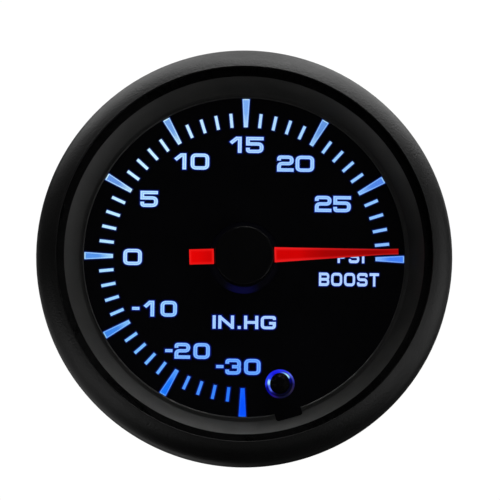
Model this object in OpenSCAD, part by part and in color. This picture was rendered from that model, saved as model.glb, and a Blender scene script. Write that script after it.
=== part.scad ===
// Mechanical boost and vacuum gauge for a 52 mm panel hole, with its movement and its panel clamp.
// Each piece is drawn with the gauge's axis along local z and the dial facing local +z,
// then turned so that the dial faces -Y and the top of the dial is towards +Z.
// The origin is on the axis, in the plane where the bezel seats on the panel.

/* [Housing] */
// Outer diameter of the round body that goes through the panel
body_d = 51.9; // [48:0.1:60]
// Depth of the body behind the panel plane
body_depth = 30; // [28:0.5:45]
// Thickness of the body's side wall
body_wall = 1.1; // [0.9:0.1:1.4]
// Thickness of the body's rear wall
rear_wall = 1.5; // [1:0.1:2.5]
// Radial width of the flange that the bezel grips
flange_w = 1.45; // [1.2:0.05:1.8]
// Thickness of that flange
flange_t = 1.2; // [0.8:0.1:1.6]

/* [Bezel] */
// How far the bezel reaches past the body, all round
bezel_rim = 4.05; // [3.8:0.05:6]
// Radius of the rounded crown
crown_r = 5.5; // [5:0.1:6]
// Thickness of the crown over the edge of the lens
lip_t = 0.57; // [0.4:0.01:0.9]
// How far the front lip covers the lens
lip_cover = 0.64; // [0.4:0.02:0.9]
// Thickness of the rear lip, rolled in behind the flange
rear_lip_t = 1; // [0.6:0.1:1.4]

/* [Lens and trim ring] */
// Thickness of the lens
lens_t = 1; // [0.8:0.1:1.5]
// Thickness of the gasket under the lens
gasket_t = 0.3; // [0.2:0.05:0.6]
// Radial width of the gasket
gasket_w = 1.58; // [1.3:0.02:1.9]
// Radial width of the sloping part of the trim ring
cone_w = 2.77; // [2.2:0.01:3.4]
// Height of the trim ring above the dial
cone_h = 3.2; // [3:0.1:5]
// Thickness of the trim ring's walls
trim_wall = 0.8; // [0.6:0.05:1]
// Width of the key notch in the ring's inner edge
notch_w = 3.9; // [2:0.1:5]
// Depth of that notch
notch_depth = 1.1; // [0.5:0.05:1.3]

/* [Dial] */
// Thickness of the translucent dial plate
dial_plate_t = 0.7; // [0.5:0.1:1.2]
// Thickness of the opaque printed layer on it
mask_t = 0.1; // [0.05:0.01:0.2]
// Diameter of the hole round the pointer's hub
dial_hole_d = 10.5; // [9.4:0.1:11]
// Angle between neighbouring marks
mark_step = 6; // [5:0.5:7.5]
// Number of marks, the first at the right and the last at the bottom
mark_count = 46; // [31:1:46]
// Radial length of a main mark
main_mark_l = 4.12; // [3:0.01:5]
// Radial length of a small mark
small_mark_l = 2.06; // [1.5:0.01:2.6]
// Width of a main mark at its outer end
main_mark_w = 1.08; // [0.8:0.02:1.5]
// Width of a small mark
small_mark_w = 0.46; // [0.3:0.02:0.8]
// Direction of the stop peg, counter-clockwise from the right
peg_angle = 286.4; // [284:0.1:292]
// Diameter of the stop peg
peg_d = 2.7; // [2:0.1:3.2]
// Diameter of the lit hole round the peg
peg_hole_d = 4.25; // [3.8:0.05:5]

/* [Lighting] */
// Thickness of the light guide behind the dial
guide_t = 1.2; // [0.8:0.1:2]
// Space between the light guide and its lamp board
lamp_space = 1.2; // [1.1:0.1:2]
// Thickness of the lamp board
board_t = 1; // [0.6:0.1:1.6]

/* [Pointer] */
// Reading angle of the pointer, counter-clockwise from the right
pointer_angle = 2.2; // [-5:0.1:10]
// Height of the blade's rear face above the dial
pointer_lift = 2.1; // [1.9:0.05:2.3]
// Thickness of the blade
blade_t = 0.4; // [0.2:0.05:0.5]
// Width that the blade's taper would have at the axis
blade_w = 2.6; // [2:0.1:3]
// Width of the blade at its tip
tip_w = 0.8; // [0.5:0.05:1.2]
// Length of the tail
tail_l = 7.9; // [6:0.1:10]
// Width of the tail
tail_w = 2.2; // [1.6:0.1:2.8]
// Diameter of the hub cap
cap_d = 8.6; // [8:0.1:9.2]

/* [Movement] */
// Module of the gear teeth
gear_module = 0.2; // [0.18:0.01:0.22]
// Number of leaves on the pinion
pinion_teeth = 14; // [12:1:16]
// Teeth that a full circle of the sector would have
sector_teeth = 126; // [112:1:140]
// Number of teeth cut in the sector
sector_cut_teeth = 16; // [16:1:18]
// Thickness of the sector
sector_t = 0.8; // [0.6:0.05:1.2]
// Length of the sector's tail, from its pivot to the link's pin
tail_arm = 5; // [4.5:0.1:5.5]
// Thickness of each movement plate
plate_t = 1.2; // [0.8:0.1:1.6]
// Space between the movement plates
plate_gap = 6.8; // [6:0.1:8]
// Number of turns of the hairspring
spring_turns = 4; // [3:0.5:4]

/* [Bourdon tube] */
// Distance from the body's wall to the tube's centre line
tube_inset = 4.85; // [4:0.05:6]
// Height of the flat tube, along the gauge's axis
tube_h = 6; // [4:0.1:6.4]
// Thickness of the flat tube
tube_t = 1.6; // [1.2:0.05:2]
// Wall of the tube
tube_wall = 0.3; // [0.2:0.05:0.4]
// Direction of the tube's free end
tube_free_angle = -28; // [-30:0.5:-24]
// Direction of the tube's fixed end
tube_fixed_angle = 215; // [210:0.5:220]

/* [Pressure inlet] */
// Diameter of the threaded stub
stub_d = 9.7; // [8:0.1:10.5]
// Length of the stub behind the body
stub_l = 6; // [5.5:0.1:10]
// Diameter of the pressure bore
port_d = 2; // [1.2:0.1:2.4]
// Diameter over the nipple's barbs
barb_d = 5; // [4.4:0.1:6]
// Length of one barb
barb_l = 3; // [2.4:0.1:4]
// Number of barbs
barb_count = 3; // [2:1:4]

/* [Panel clamp] */
// Distance from the body's wall to the axis of a stud
stud_inset = 9.95; // [9:0.05:11]
// Diameter of a stud
stud_d = 3.9; // [3:0.1:4.4]
// Length of the studs behind the body
stud_l = 20; // [18:0.5:30]
// Thickness of the bracket's strip
strip_t = 1.5; // [1:0.1:2]
// Width of the bracket's legs
leg_w = 12; // [8:0.5:12.5]
// Thickness of the panel that the bracket is set for
panel_t = 3; // [2.5:0.1:5]
// Diameter of a thumb nut
nut_d = 10; // [8:0.5:12]
// Height of a thumb nut
nut_h = 6; // [4:0.5:7]
// Diameter of the wire hole in the grommet
wire_d = 3.2; // [2:0.1:3.4]

/* [Hidden] */
$fn = 64;
// Ends of cutting solids reach this far past what they cut
over = 1;
// Clearance between pieces that are assembled and then stay still
fit_gap = 0.05;
// Radial clearance of a turning pivot
pivot_gap = 0.05;

// Radii of the housing and of what the bezel holds
body_r = body_d / 2;
inner_r = body_r - body_wall;
flange_r = body_r + flange_w;
bore_gap = 0.3;
bore_r = flange_r + bore_gap;
stack_gap = 0.2;
stack_r = bore_r - stack_gap;
opening_r = bore_r - lip_cover;
bezel_r = body_r + bezel_rim;
rear_lip_gap = 0.2;
rear_lip_r = body_r + rear_lip_gap;
rear_round_r = 0.8;
lip_round_r = 0.1;
cone_r = stack_r - gasket_w;
view_r = cone_r - cone_w;

// Levels along the axis, from the panel plane towards the viewer
seal_t = 0.7;
neck_h = 1.2;
z_flange = rear_lip_t;
z_flange_top = z_flange + flange_t;
z_seal_top = z_flange_top + seal_t;
z_neck = z_flange_top + neck_h;
z_guide_top = z_neck + guide_t;
z_plate_top = z_guide_top + dial_plate_t;
z_dial = z_plate_top + mask_t;
z_trim_top = z_dial + cone_h;
z_gasket_top = z_trim_top + gasket_t;
z_lens_top = z_gasket_top + lens_t;
z_board_top = z_neck - lamp_space;
z_board = z_board_top - board_t;
crown_x = bezel_r - crown_r;
z_crown = z_lens_top + lip_t - sqrt(pow(crown_r, 2) - pow(bore_r - crown_x, 2));
lip_round_x = opening_r + lip_round_r;
z_lip = z_crown + sqrt(pow(crown_r, 2) - pow(lip_round_x - crown_x, 2));

// Levels behind the panel plane
boss_h = 12.3;
z_floor = rear_wall - body_depth;
z_seat = z_floor + boss_h;
z_back_plate = z_seat + plate_t;
z_front_plate = z_back_plate + plate_gap;
z_front_face = z_front_plate + plate_t;
z_mid = z_back_plate + plate_gap / 2;

// Trim ring
trim_lip_w = 0.26;
trim_lip_h = 0.55;
trim_ledge_w = 0.42;
trim_ledge_h = 0.3;
cone_bulge = 0.12;
skirt_r = stack_r - trim_wall;
notch_corner_r = 0.4;

// Dial and its supports
dial_inset = 0.35;
dial_r = body_r - dial_inset;
mark_gap = 0.1;
main_mark_taper_share = 0.56;
peg_inset = 4.15;
peg_at_r = view_r - peg_inset;
peg_top_gap = 0.5;
peg_bore_gap = 0.03;
guide_hole_r = 2.5;
guide_leg_r = 1.2;
guide_leg_inset = 2.35;
guide_legs = 3;
guide_leg_start = 30;

// Lamp board
board_gap = 0.6;
board_r = inner_r - board_gap;
board_hole_r = 7;
lamp_size = [3, 1.6, 1];
lamp_dome_r = 0.6;
lamp_at_r = 17;
lamps = 8;
rib_w = 3;
rib_depth = 1.85;

// Pointer and hub
tip_inset = 0.95;
tip_r = view_r - tip_inset;
tip_flat_l = 2.3;
z_blade = z_dial + pointer_lift;
cap_rise = 0.65;
cap_wall = 0.6;
cap_top_t = 0.35;
cap_skirt = 1.1;
cap_round_r = 0.35;
z_cap_top = z_blade + blade_t + cap_rise;
z_cap_inside = z_cap_top - cap_top_t;
hub_disc_r = 3.5;
hub_boss_r = 1.6;
hub_boss_l = 1.2;
cap_slot_gap = 0.15;
arbor_r = 0.6;
arbor_pivot_r = 0.45;
arbor_shoulder_r = 0.9;
arbor_end_gap = 0.05;
arbor_tail = 0.3;

// Gears
pressure_angle = 20;
addendum = 0.8 * gear_module;
dedendum = gear_module;
backlash = 0.04;
pinion_l = 2.8;
pinion_pitch_r = pinion_teeth * gear_module / 2;
sector_pitch_r = sector_teeth * gear_module / 2;
gear_centres = pinion_pitch_r + sector_pitch_r;
sector_at = [0, -gear_centres];
sector_lead_teeth = 2;
sector_rim_t = 1.4;
sector_hub_r = 2.2;
spoke_w = 1.4;
spoke_teeth = [0, 11];
tail_angle = -40.6;
tail_end_r = 1.1;
tail_strip_w = 1.6;
tail_pin_r = 0.4;
tail_pin_at = sector_at + tail_arm * [cos(tail_angle), sin(tail_angle)];
sector_shaft_r = 0.9;
sector_pivot_r = 0.45;

// Movement plates
pillar_r = 1.4;
pillar_bore_r = 0.75;
upper_pillar = [8.5, 3.5];
lower_pillar_offset = [-6.5, -1.5];
pillars_at = [
    upper_pillar,
    [-upper_pillar.x, upper_pillar.y],
    sector_at + lower_pillar_offset,
];
plate_edge = 3;
screw_r = 0.7;
screw_head_r = 1.4;
screw_head_h = 0.8;
screw_slot_w = 0.4;
screw_l = 3;
socket_screw_x = 4.8;
socket_screw_l = 6;

// Hairspring
collet_r = 1.3;
collet_h = 1;
collet_rise = 1.9;
spring_w = 0.5;
spring_strip = 0.15;
spring_outer_r = 5.2;
spring_stud_r = 0.6;
spring_end_angle = 150;
spring_step = 15;
z_spring = z_mid + collet_rise;

// Bourdon tube, its socket and its tip
tube_r = inner_r - tube_inset;
tube_slot_gap = 0.03;
post_r = 3.2;
post_cap = 1;
post_turn = -2.5;
post_angle = tube_fixed_angle + post_turn;
post_at = tube_r * [cos(post_angle), sin(post_angle)];
boss_r = 7;
arm_w = 7;
arm_h = 8;
arbor_recess_r = 1.2;
arbor_recess_h = 1;
passage_h = 4;
passage_share = 0.8;
tip_pivot_turn = -10.9;
tip_pivot_angle = tube_free_angle + tip_pivot_turn;
tip_pivot_r_share = 0.9955;
tip_pivot_at = tube_r * tip_pivot_r_share * [cos(tip_pivot_angle), sin(tip_pivot_angle)];
tip_block_w = 4;
tip_block_l = 3.2;
tip_block_cap = 0.7;
tip_block_seat = 1.4;
tip_lug_w = 2.4;
tip_lug_t = 1;
link_t = 0.5;
link_w = 1.3;
link_end_r = 1.1;
link_gap = 0.2;
link_slop = 0.16;
pin_head_r = 0.7;
pin_head_t = 0.3;
z_link = z_mid + sector_t / 2 + link_gap;

// Pressure inlet
stub_hole_gap = 0.1;
fitting_washer_r = 8;
fitting_washer_t = 1;
fitting_nut_af = 14;
fitting_nut_h = 4;
nipple_thread_r = 2.2;
nipple_thread_l = 4.5;
nipple_af = 8;
nipple_hex_h = 3;
barb_depth = 0.55;
barb_crest = 0.6;
z_stub_end = -body_depth - stub_l;
z_nipple = z_stub_end - nipple_hex_h;

// Wire grommet
grommet_y = 17;
grommet_r = 3.5;
grommet_neck_r = 2.6;
grommet_lip = 1.1;

// Panel clamp
stud_at_r = body_r - stud_inset;
leg_clear = 1.45;
leg_x = body_r + leg_clear;
bridge_clear = 2.5;
z_bridge = -body_depth - bridge_clear;
bridge_ring_r = 12.6;
bridge_hole_r = 9;
bend_r = 2.5;
stud_hole_gap = 0.25;
stud_head_r = 3.5;
stud_head_h = 1;
lock_washer_r = 4;
lock_washer_t = 0.8;
lock_washer_split = 0.8;
z_nut = z_bridge - strip_t - lock_washer_t;
knurls = 16;
knurl_r = 0.5;
nut_collar_share = 0.25;
nut_collar_r_share = 0.72;

// Angle between the flank of an involute tooth and its start on the base circle, in degrees
function involute(r, base_r) = let (a = acos(base_r / r)) tan(a) * 180 / PI - a;

// Half the angle that a tooth takes up at radius r
function half_tooth(r, teeth) =
    let (
        pitch_r = teeth * gear_module / 2,
        base_r = pitch_r * cos(pressure_angle),
        at_pitch = 90 / teeth - backlash / 4 / pitch_r * 180 / PI
    )
    at_pitch + involute(pitch_r, base_r) - involute(max(r, base_r), base_r);

// The outline of one tooth from root to root, centred on an angle
function tooth(teeth, angle) =
    let (
        pitch_r = teeth * gear_module / 2,
        base_r = pitch_r * cos(pressure_angle),
        root_r = pitch_r - dedendum,
        top_r = pitch_r + addendum,
        rise = base_r > root_r ? [root_r, base_r, (base_r + top_r) / 2, top_r] : [root_r, pitch_r, top_r],
        last = len(rise) - 1
    )
    [
        for (i = [0:last]) rise[i] * direction(angle - half_tooth(rise[i], teeth)),
        for (i = [last:-1:0]) rise[i] * direction(angle + half_tooth(rise[i], teeth)),
    ];

function direction(angle) = [cos(angle), sin(angle)];

// Direction of a sector tooth, seen from the sector's pivot
function sector_angle(tooth_number) = 90 + tooth_number * 360 / sector_teeth;

// Radius of the hairspring's centre line after an angle
function spring_r(angle) =
    let (start_r = collet_r + spring_strip)
    start_r + (spring_outer_r - start_r) * angle / (360 * spring_turns);

spring_angles = [for (a = [0:spring_step:360 * spring_turns]) a];
spring_turn_at = spring_end_angle - 360 * spring_turns;
spring_gaps = [
    for (a = [0:spring_step:360 * (spring_turns - 1)]) spring_r(a + 360) - spring_r(a) - spring_strip
];
echo(least_gap_in_hairspring = min(spring_gaps));

// Turns a piece from the gauge's local frame into the part's frame
module facing() {
    rotate([90, 0, 0]) children();
}

// A disc or ring between two levels
module ring(outer, inner, low, high) {
    translate([0, 0, low]) difference() {
        cylinder(r = outer, h = high - low);
        if (inner > 0) translate([0, 0, -over]) cylinder(r = inner, h = high - low + 2 * over);
    }
}

// A cutting cylinder that runs past both levels
module drill(radius, low, high) {
    translate([0, 0, low - over]) cylinder(r = radius, h = high - low + 2 * over);
}

// A flat bar with round ends between two points
module bar(from, to, width) {
    span = to - from;
    translate(from) rotate(atan2(span.y, span.x)) translate([0, -width / 2]) square([norm(span), width]);
    translate(from) circle(d = width);
    translate(to) circle(d = width);
}

// A hexagonal prism of a given size across its flats
module hexagon(across_flats, height) {
    cylinder(r = across_flats / sqrt(3), h = height, $fn = 6);
}

// Outline of the bezel's section, right of the axis
module bezel_section() {
    difference() {
        union() {
            translate([0, rear_round_r]) square([bezel_r, z_crown - rear_round_r]);
            square([bezel_r - rear_round_r, z_crown]);
            translate([bezel_r - rear_round_r, rear_round_r]) circle(r = rear_round_r);
            intersection() {
                translate([crown_x, z_crown]) circle(r = crown_r);
                translate([lip_round_x, z_crown]) square([crown_r, crown_r]);
            }
            square([lip_round_x, z_lip - lip_round_r]);
            translate([lip_round_x, z_lip - lip_round_r]) circle(r = lip_round_r);
        }
        translate([-over, -over]) square([rear_lip_r + over, z_lip + 2 * over]);
        translate([-over, rear_lip_t]) square([opening_r + over, z_lip + over]);
        translate([-over, rear_lip_t]) square([bore_r + over, z_lens_top - rear_lip_t]);
    }
}

module bezel() {
    color([0.05, 0.05, 0.05]) facing() rotate_extrude() bezel_section();
}

module lens() {
    color([0.2, 0.2, 0.22, 0.35]) facing() ring(stack_r, 0, z_gasket_top, z_lens_top);
}

module lens_gasket() {
    color([0.02, 0.02, 0.02]) facing() ring(stack_r, cone_r, z_trim_top, z_gasket_top);
}

// Section of the trim ring: a rounded lip on the dial, a ledge, a crowned slope, a flange and a skirt
module trim_section() {
    lip_x = view_r + trim_lip_w;
    lip_z = z_dial + trim_lip_h - trim_lip_w / 2;
    foot = [lip_x + trim_ledge_w, z_dial + trim_ledge_h];
    top = [cone_r, z_trim_top];
    slope = norm(top - foot);
    across = [foot.y - top.y, top.x - foot.x] / slope;
    bulge_r = (pow(slope / 2, 2) + pow(cone_bulge, 2)) / (2 * cone_bulge);
    polygon([
        [stack_r, z_seal_top],
        [stack_r, z_trim_top],
        top,
        foot,
        [lip_x, foot.y],
        [lip_x, lip_z],
        [view_r, lip_z],
        [view_r, z_dial],
        [lip_x + trim_wall, z_dial],
        [cone_r + trim_wall / 4, z_trim_top - trim_wall],
        [skirt_r, z_trim_top - trim_wall],
        [skirt_r, z_seal_top],
    ]);
    translate([view_r + trim_lip_w / 2, lip_z]) circle(d = trim_lip_w);
    intersection() {
        translate((foot + top) / 2 - across * (bulge_r - cone_bulge)) circle(r = bulge_r);
        polygon([
            foot - across * cone_bulge,
            top - across * cone_bulge,
            top + across * 2 * cone_bulge,
            foot + across * 2 * cone_bulge,
        ]);
    }
}

// Sloping ring between the dial and the lens, with a skirt that spaces it from the flange
module trim_ring() {
    color([0.08, 0.08, 0.08]) facing() difference() {
        rotate_extrude() trim_section();
        rotate(peg_angle) translate([view_r - over, 0, z_dial - over])
            linear_extrude(cone_h + over) {
                translate([0, -notch_w / 2 + notch_corner_r])
                    square([notch_depth + over, notch_w - 2 * notch_corner_r]);
                translate([0, -notch_w / 2]) square([notch_depth + over - notch_corner_r, notch_w]);
                for (side = [-1, 1])
                    translate([notch_depth + over - notch_corner_r, side * (notch_w / 2 - notch_corner_r)])
                        circle(r = notch_corner_r);
            }
    }
}

// Window of a main mark: a wedge that widens outwards
module main_mark() {
    outer = view_r - mark_gap;
    inner = outer - main_mark_l;
    wide = main_mark_w / 2;
    narrow = wide * main_mark_taper_share;
    polygon([[inner, -narrow], [outer, -wide], [outer, wide], [inner, narrow]]);
}

// Window of a small mark
module small_mark() {
    inner = view_r - mark_gap - main_mark_l;
    translate([inner, -small_mark_w / 2]) square([small_mark_l, small_mark_w]);
}

// Opaque printed layer with the lit marks left open
module dial_mask() {
    color([0.01, 0.01, 0.03]) facing() difference() {
        ring(dial_r, dial_hole_d / 2, z_plate_top, z_dial);
        rotate(peg_angle) translate([peg_at_r, 0]) drill(peg_hole_d / 2, z_plate_top, z_dial);
        translate([0, 0, z_plate_top - over]) linear_extrude(mask_t + 2 * over)
            for (i = [0:mark_count - 1])
                rotate(i * mark_step) if (i % 5 == 0) main_mark(); else small_mark();
    }
}

module dial_plate() {
    color([0.5, 0.7, 1]) facing() difference() {
        ring(dial_r, dial_hole_d / 2, z_guide_top, z_plate_top);
        rotate(peg_angle) translate([peg_at_r, 0]) drill(peg_hole_d / 2, z_guide_top, z_plate_top);
    }
}

// Clear disc that carries the light, on three legs that stand on the lamp board
module light_guide() {
    color([0.75, 0.85, 1]) facing() {
        difference() {
            ring(dial_r, guide_hole_r, z_neck, z_guide_top);
            rotate(peg_angle) translate([peg_at_r, 0])
                drill(peg_d / 2 + peg_bore_gap, z_neck, z_guide_top);
        }
        for (i = [0:guide_legs - 1])
            rotate(guide_leg_start + i * 360 / guide_legs) translate([inner_r - guide_leg_inset, 0, z_board_top])
                cylinder(r = guide_leg_r, h = lamp_space + guide_t / 2);
    }
}

module lamp_board() {
    color([0.1, 0.3, 0.15]) facing() ring(board_r, board_hole_r, z_board, z_board_top);
}

module lamps() {
    color([0.6, 0.75, 1]) facing() for (i = [0:lamps - 1])
        rotate((i + 0.5) * 360 / lamps) translate([lamp_at_r, 0, z_board_top]) {
            translate([-lamp_size.y / 2, -lamp_size.x / 2]) cube([lamp_size.y, lamp_size.x, lamp_size.z / 2]);
            cylinder(r = lamp_dome_r, h = lamp_size.z);
        }
}

// Peg that stops the pointer past either end of the scale
module stop_peg() {
    high = z_gasket_top - peg_top_gap;
    color([0.03, 0.03, 0.03]) facing() rotate(peg_angle) translate([peg_at_r, 0]) {
        translate([0, 0, z_neck]) cylinder(d = peg_d, h = high - z_neck - peg_d / 4);
        translate([0, 0, high - peg_d / 4]) cylinder(d1 = peg_d, d2 = peg_d / 2, h = peg_d / 4);
    }
}

// Blade with its tail, hub disc and boss
module pointer() {
    taper_end = tip_r - tip_flat_l;
    blade = [
        [0, -blade_w / 2],
        [taper_end, -tip_w / 2],
        [tip_r, -tip_w / 2],
        [tip_r, tip_w / 2],
        [taper_end, tip_w / 2],
        [0, blade_w / 2],
    ];
    color([0.9, 0.02, 0.02]) facing() rotate(pointer_angle) difference() {
        union() {
            translate([0, 0, z_blade]) linear_extrude(blade_t) {
                polygon(blade);
                translate([-tail_l, -tail_w / 2]) square([tail_l, tail_w]);
                circle(r = hub_disc_r);
            }
            translate([0, 0, z_blade - hub_boss_l]) cylinder(r = hub_boss_r, h = z_cap_inside - z_blade + hub_boss_l);
        }
        drill(arbor_r + fit_gap / 2, z_blade - hub_boss_l, z_cap_inside);
    }
}

// Cap over the hub, slotted where the blade and the tail come out
module hub_cap() {
    cap_r = cap_d / 2;
    low = z_blade - cap_skirt;
    slot = max(blade_w, tail_w) + 2 * cap_slot_gap;
    color([0.03, 0.03, 0.03]) facing() rotate(pointer_angle) difference() {
        rotate_extrude() {
            translate([0, low]) square([cap_r, z_cap_top - cap_round_r - low]);
            translate([0, low]) square([cap_r - cap_round_r, z_cap_top - low]);
            translate([cap_r - cap_round_r, z_cap_top - cap_round_r]) circle(r = cap_round_r);
        }
        translate([0, 0, low - over]) cylinder(r = cap_r - cap_wall, h = z_cap_inside - low + over);
        translate([-cap_r - over, -slot / 2, low - over])
            cube([cap_d + 2 * over, slot, z_blade + blade_t + cap_slot_gap - low + over]);
    }
}

// Pointer shaft with its pinion, from the back plate to the hub
module pointer_arbor() {
    low = z_back_plate + arbor_end_gap;
    color([0.75, 0.72, 0.55]) facing() {
        translate([0, 0, z_seat - arbor_tail]) cylinder(r = arbor_pivot_r, h = low - z_seat + arbor_tail);
        translate([0, 0, low]) cylinder(r = arbor_shoulder_r, h = z_mid - low);
        translate([0, 0, z_mid]) cylinder(r = arbor_r, h = z_cap_inside - fit_gap - z_mid);
        translate([0, 0, z_mid - pinion_l / 2]) linear_extrude(pinion_l)
            polygon([for (i = [0:pinion_teeth - 1]) each tooth(pinion_teeth, -90 + (i + 0.5) * 360 / pinion_teeth)]);
    }
}

module hairspring_collet() {
    color([0.8, 0.65, 0.3]) facing()
        ring(collet_r, arbor_r + fit_gap / 2, z_spring - (collet_h - spring_w) / 2, z_spring + (collet_h + spring_w) / 2);
}

// Flat spiral spring that takes up the play of the gears
module hairspring() {
    color([0.55, 0.5, 0.4]) facing() translate([0, 0, z_spring]) linear_extrude(spring_w)
        polygon([
            for (a = spring_angles) (spring_r(a) - spring_strip / 2) * direction(a + spring_turn_at),
            for (i = [len(spring_angles) - 1:-1:0])
                (spring_r(spring_angles[i]) + spring_strip / 2) * direction(spring_angles[i] + spring_turn_at),
        ]);
}

// Post on the front plate that holds the outer end of the hairspring
module hairspring_stud() {
    low = z_spring - (collet_h - spring_w) / 2;
    color([0.8, 0.65, 0.3]) facing() rotate(spring_end_angle)
        translate([spring_outer_r + spring_strip / 2 + spring_stud_r + fit_gap / 2, 0, low])
            cylinder(r = spring_stud_r, h = z_front_plate - low);
}

// Outline of both movement plates: arms from the two shafts to the three pillars
module plate_outline() {
    bar(pillars_at[0], pillars_at[1], 2 * plate_edge);
    bar([0, pillars_at[0].y], sector_at, 2 * plate_edge);
    bar(sector_at, pillars_at[2], 2 * plate_edge);
    bar([0, 0], pillars_at[1], 2 * plate_edge);
    bar([0, 0], pillars_at[0], 2 * plate_edge);
}

module at_pillars() {
    for (p = pillars_at) translate(p) children();
}

module at_socket_screws() {
    for (side = [-1, 1]) translate([side * socket_screw_x, 0]) children();
}

module front_plate() {
    color([0.85, 0.7, 0.35]) facing() difference() {
        translate([0, 0, z_front_plate]) linear_extrude(plate_t) plate_outline();
        drill(arbor_r + pivot_gap, z_front_plate, z_front_face);
        translate(sector_at) drill(sector_pivot_r + pivot_gap, z_front_plate, z_front_face);
        at_pillars() drill(screw_r + fit_gap, z_front_plate, z_front_face);
    }
}

module back_plate() {
    color([0.85, 0.7, 0.35]) facing() difference() {
        translate([0, 0, z_seat]) linear_extrude(plate_t) plate_outline();
        drill(arbor_pivot_r + pivot_gap, z_seat, z_back_plate);
        translate(sector_at) drill(sector_pivot_r + pivot_gap, z_seat, z_back_plate);
        at_socket_screws() drill(screw_r + fit_gap, z_seat, z_back_plate);
    }
}

module plate_pillars() {
    color([0.8, 0.65, 0.3]) facing() at_pillars() difference() {
        translate([0, 0, z_back_plate]) cylinder(r = pillar_r, h = plate_gap);
        translate([0, 0, z_front_plate - screw_l]) cylinder(r = pillar_bore_r, h = screw_l + over);
    }
}

// A slotted cheese-head screw whose head sits on a level and whose shank points to the back
module screw(level, length) {
    difference() {
        union() {
            translate([0, 0, level]) cylinder(r = screw_head_r, h = screw_head_h);
            translate([0, 0, level - length]) cylinder(r = screw_r, h = length);
        }
        translate([-screw_head_r - over, -screw_slot_w / 2, level + screw_head_h / 2])
            cube([2 * (screw_head_r + over), screw_slot_w, screw_head_h]);
    }
}

module plate_screws() {
    color([0.7, 0.7, 0.72]) facing() at_pillars() screw(z_front_face, plate_t + screw_l - fit_gap);
}

module socket_screws() {
    color([0.7, 0.7, 0.72]) facing() at_socket_screws() screw(z_back_plate, plate_t + socket_screw_l - fit_gap);
}

// Toothed sector with two spokes and the tail that the link pulls
module sector_gear() {
    first = -sector_lead_teeth;
    last = first + sector_cut_teeth - 1;
    rim_r = sector_pitch_r - dedendum - sector_rim_t;
    teeth = [for (i = [first:last]) each tooth(sector_teeth, sector_angle(i))];
    inside = [for (i = [last:-1:first]) rim_r * direction(sector_angle(i))];
    color([0.85, 0.7, 0.35]) facing() difference() {
        translate([sector_at.x, sector_at.y, z_mid - sector_t / 2]) linear_extrude(sector_t) {
            polygon(concat(teeth, inside));
            for (i = spoke_teeth)
                bar([0, 0], (rim_r + sector_rim_t / 2) * direction(sector_angle(i)), spoke_w);
            circle(r = sector_hub_r);
            bar([0, 0], tail_arm * direction(tail_angle), tail_strip_w);
            translate(tail_arm * direction(tail_angle)) circle(r = tail_end_r);
        }
        translate(sector_at) drill(sector_shaft_r + fit_gap / 2, z_back_plate, z_front_plate);
        translate(tail_pin_at) drill(tail_pin_r + fit_gap / 2, z_back_plate, z_front_plate);
    }
}

module sector_arbor() {
    low = z_back_plate + arbor_end_gap;
    high = z_front_plate - arbor_end_gap;
    color([0.75, 0.72, 0.55]) facing() translate(sector_at) {
        translate([0, 0, low]) cylinder(r = sector_shaft_r, h = high - low);
        translate([0, 0, z_seat + arbor_end_gap])
            cylinder(r = sector_pivot_r, h = z_front_face - z_seat - 2 * arbor_end_gap);
    }
}

// A headed pin from a low level up to the link's front face
module link_pin(low) {
    high = z_link + link_t + link_gap;
    translate([0, 0, low]) cylinder(r = tail_pin_r, h = high - low);
    translate([0, 0, high]) cylinder(r = pin_head_r, h = pin_head_t);
}

module sector_tail_pin() {
    color([0.7, 0.7, 0.72]) facing() translate(tail_pin_at) link_pin(z_mid - sector_t / 2);
}

module tip_pivot_pin() {
    color([0.7, 0.7, 0.72]) facing() translate(tip_pivot_at) link_pin(z_link - link_gap - tip_lug_t);
}

// Link from the tube's tip to the sector's tail; its hole at the tail has play
module link_rod() {
    color([0.7, 0.7, 0.72]) facing() difference() {
        translate([0, 0, z_link]) linear_extrude(link_t) {
            bar(tip_pivot_at, tail_pin_at, link_w);
            translate(tip_pivot_at) circle(r = link_end_r);
            translate(tail_pin_at) circle(r = link_end_r);
        }
        translate(tip_pivot_at) drill(tail_pin_r + pivot_gap, z_link, z_link + link_t);
        translate(tail_pin_at) drill(tail_pin_r + link_slop, z_link, z_link + link_t);
    }
}

// Section of the flat tube, grown by a margin
module tube_section(margin) {
    half = tube_t / 2 + margin;
    straight = tube_h - tube_t;
    translate([-half, -straight / 2]) square([2 * half, straight]);
    for (side = [-1, 1]) translate([0, side * straight / 2]) circle(r = half);
}

// The tube's path from its free end to its fixed end, with any section
module along_tube() {
    translate([0, 0, z_mid]) rotate(tube_free_angle)
        rotate_extrude(angle = tube_fixed_angle - tube_free_angle) translate([tube_r, 0]) children();
}

module bourdon_tube() {
    color([0.8, 0.62, 0.28]) facing() along_tube() difference() {
        tube_section(0);
        tube_section(-tube_wall);
    }
}

// Block that closes the tube's free end, with the lug for the link
module tube_tip_block() {
    block_h = tube_h + 2 * tip_block_cap;
    color([0.8, 0.65, 0.3]) facing() difference() {
        union() {
            rotate(tube_free_angle) translate([tube_r - tip_block_w / 2, tip_block_seat - tip_block_l, z_mid - block_h / 2])
                cube([tip_block_w, tip_block_l, block_h]);
            translate([0, 0, z_link - link_gap - tip_lug_t]) linear_extrude(tip_lug_t)
                bar(tube_r * direction(tube_free_angle + tip_pivot_turn / 3), tip_pivot_at, tip_lug_w);
        }
        along_tube() tube_section(tube_slot_gap);
        translate(tip_pivot_at) drill(tail_pin_r + fit_gap / 2, z_back_plate, z_front_plate);
    }
}

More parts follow.
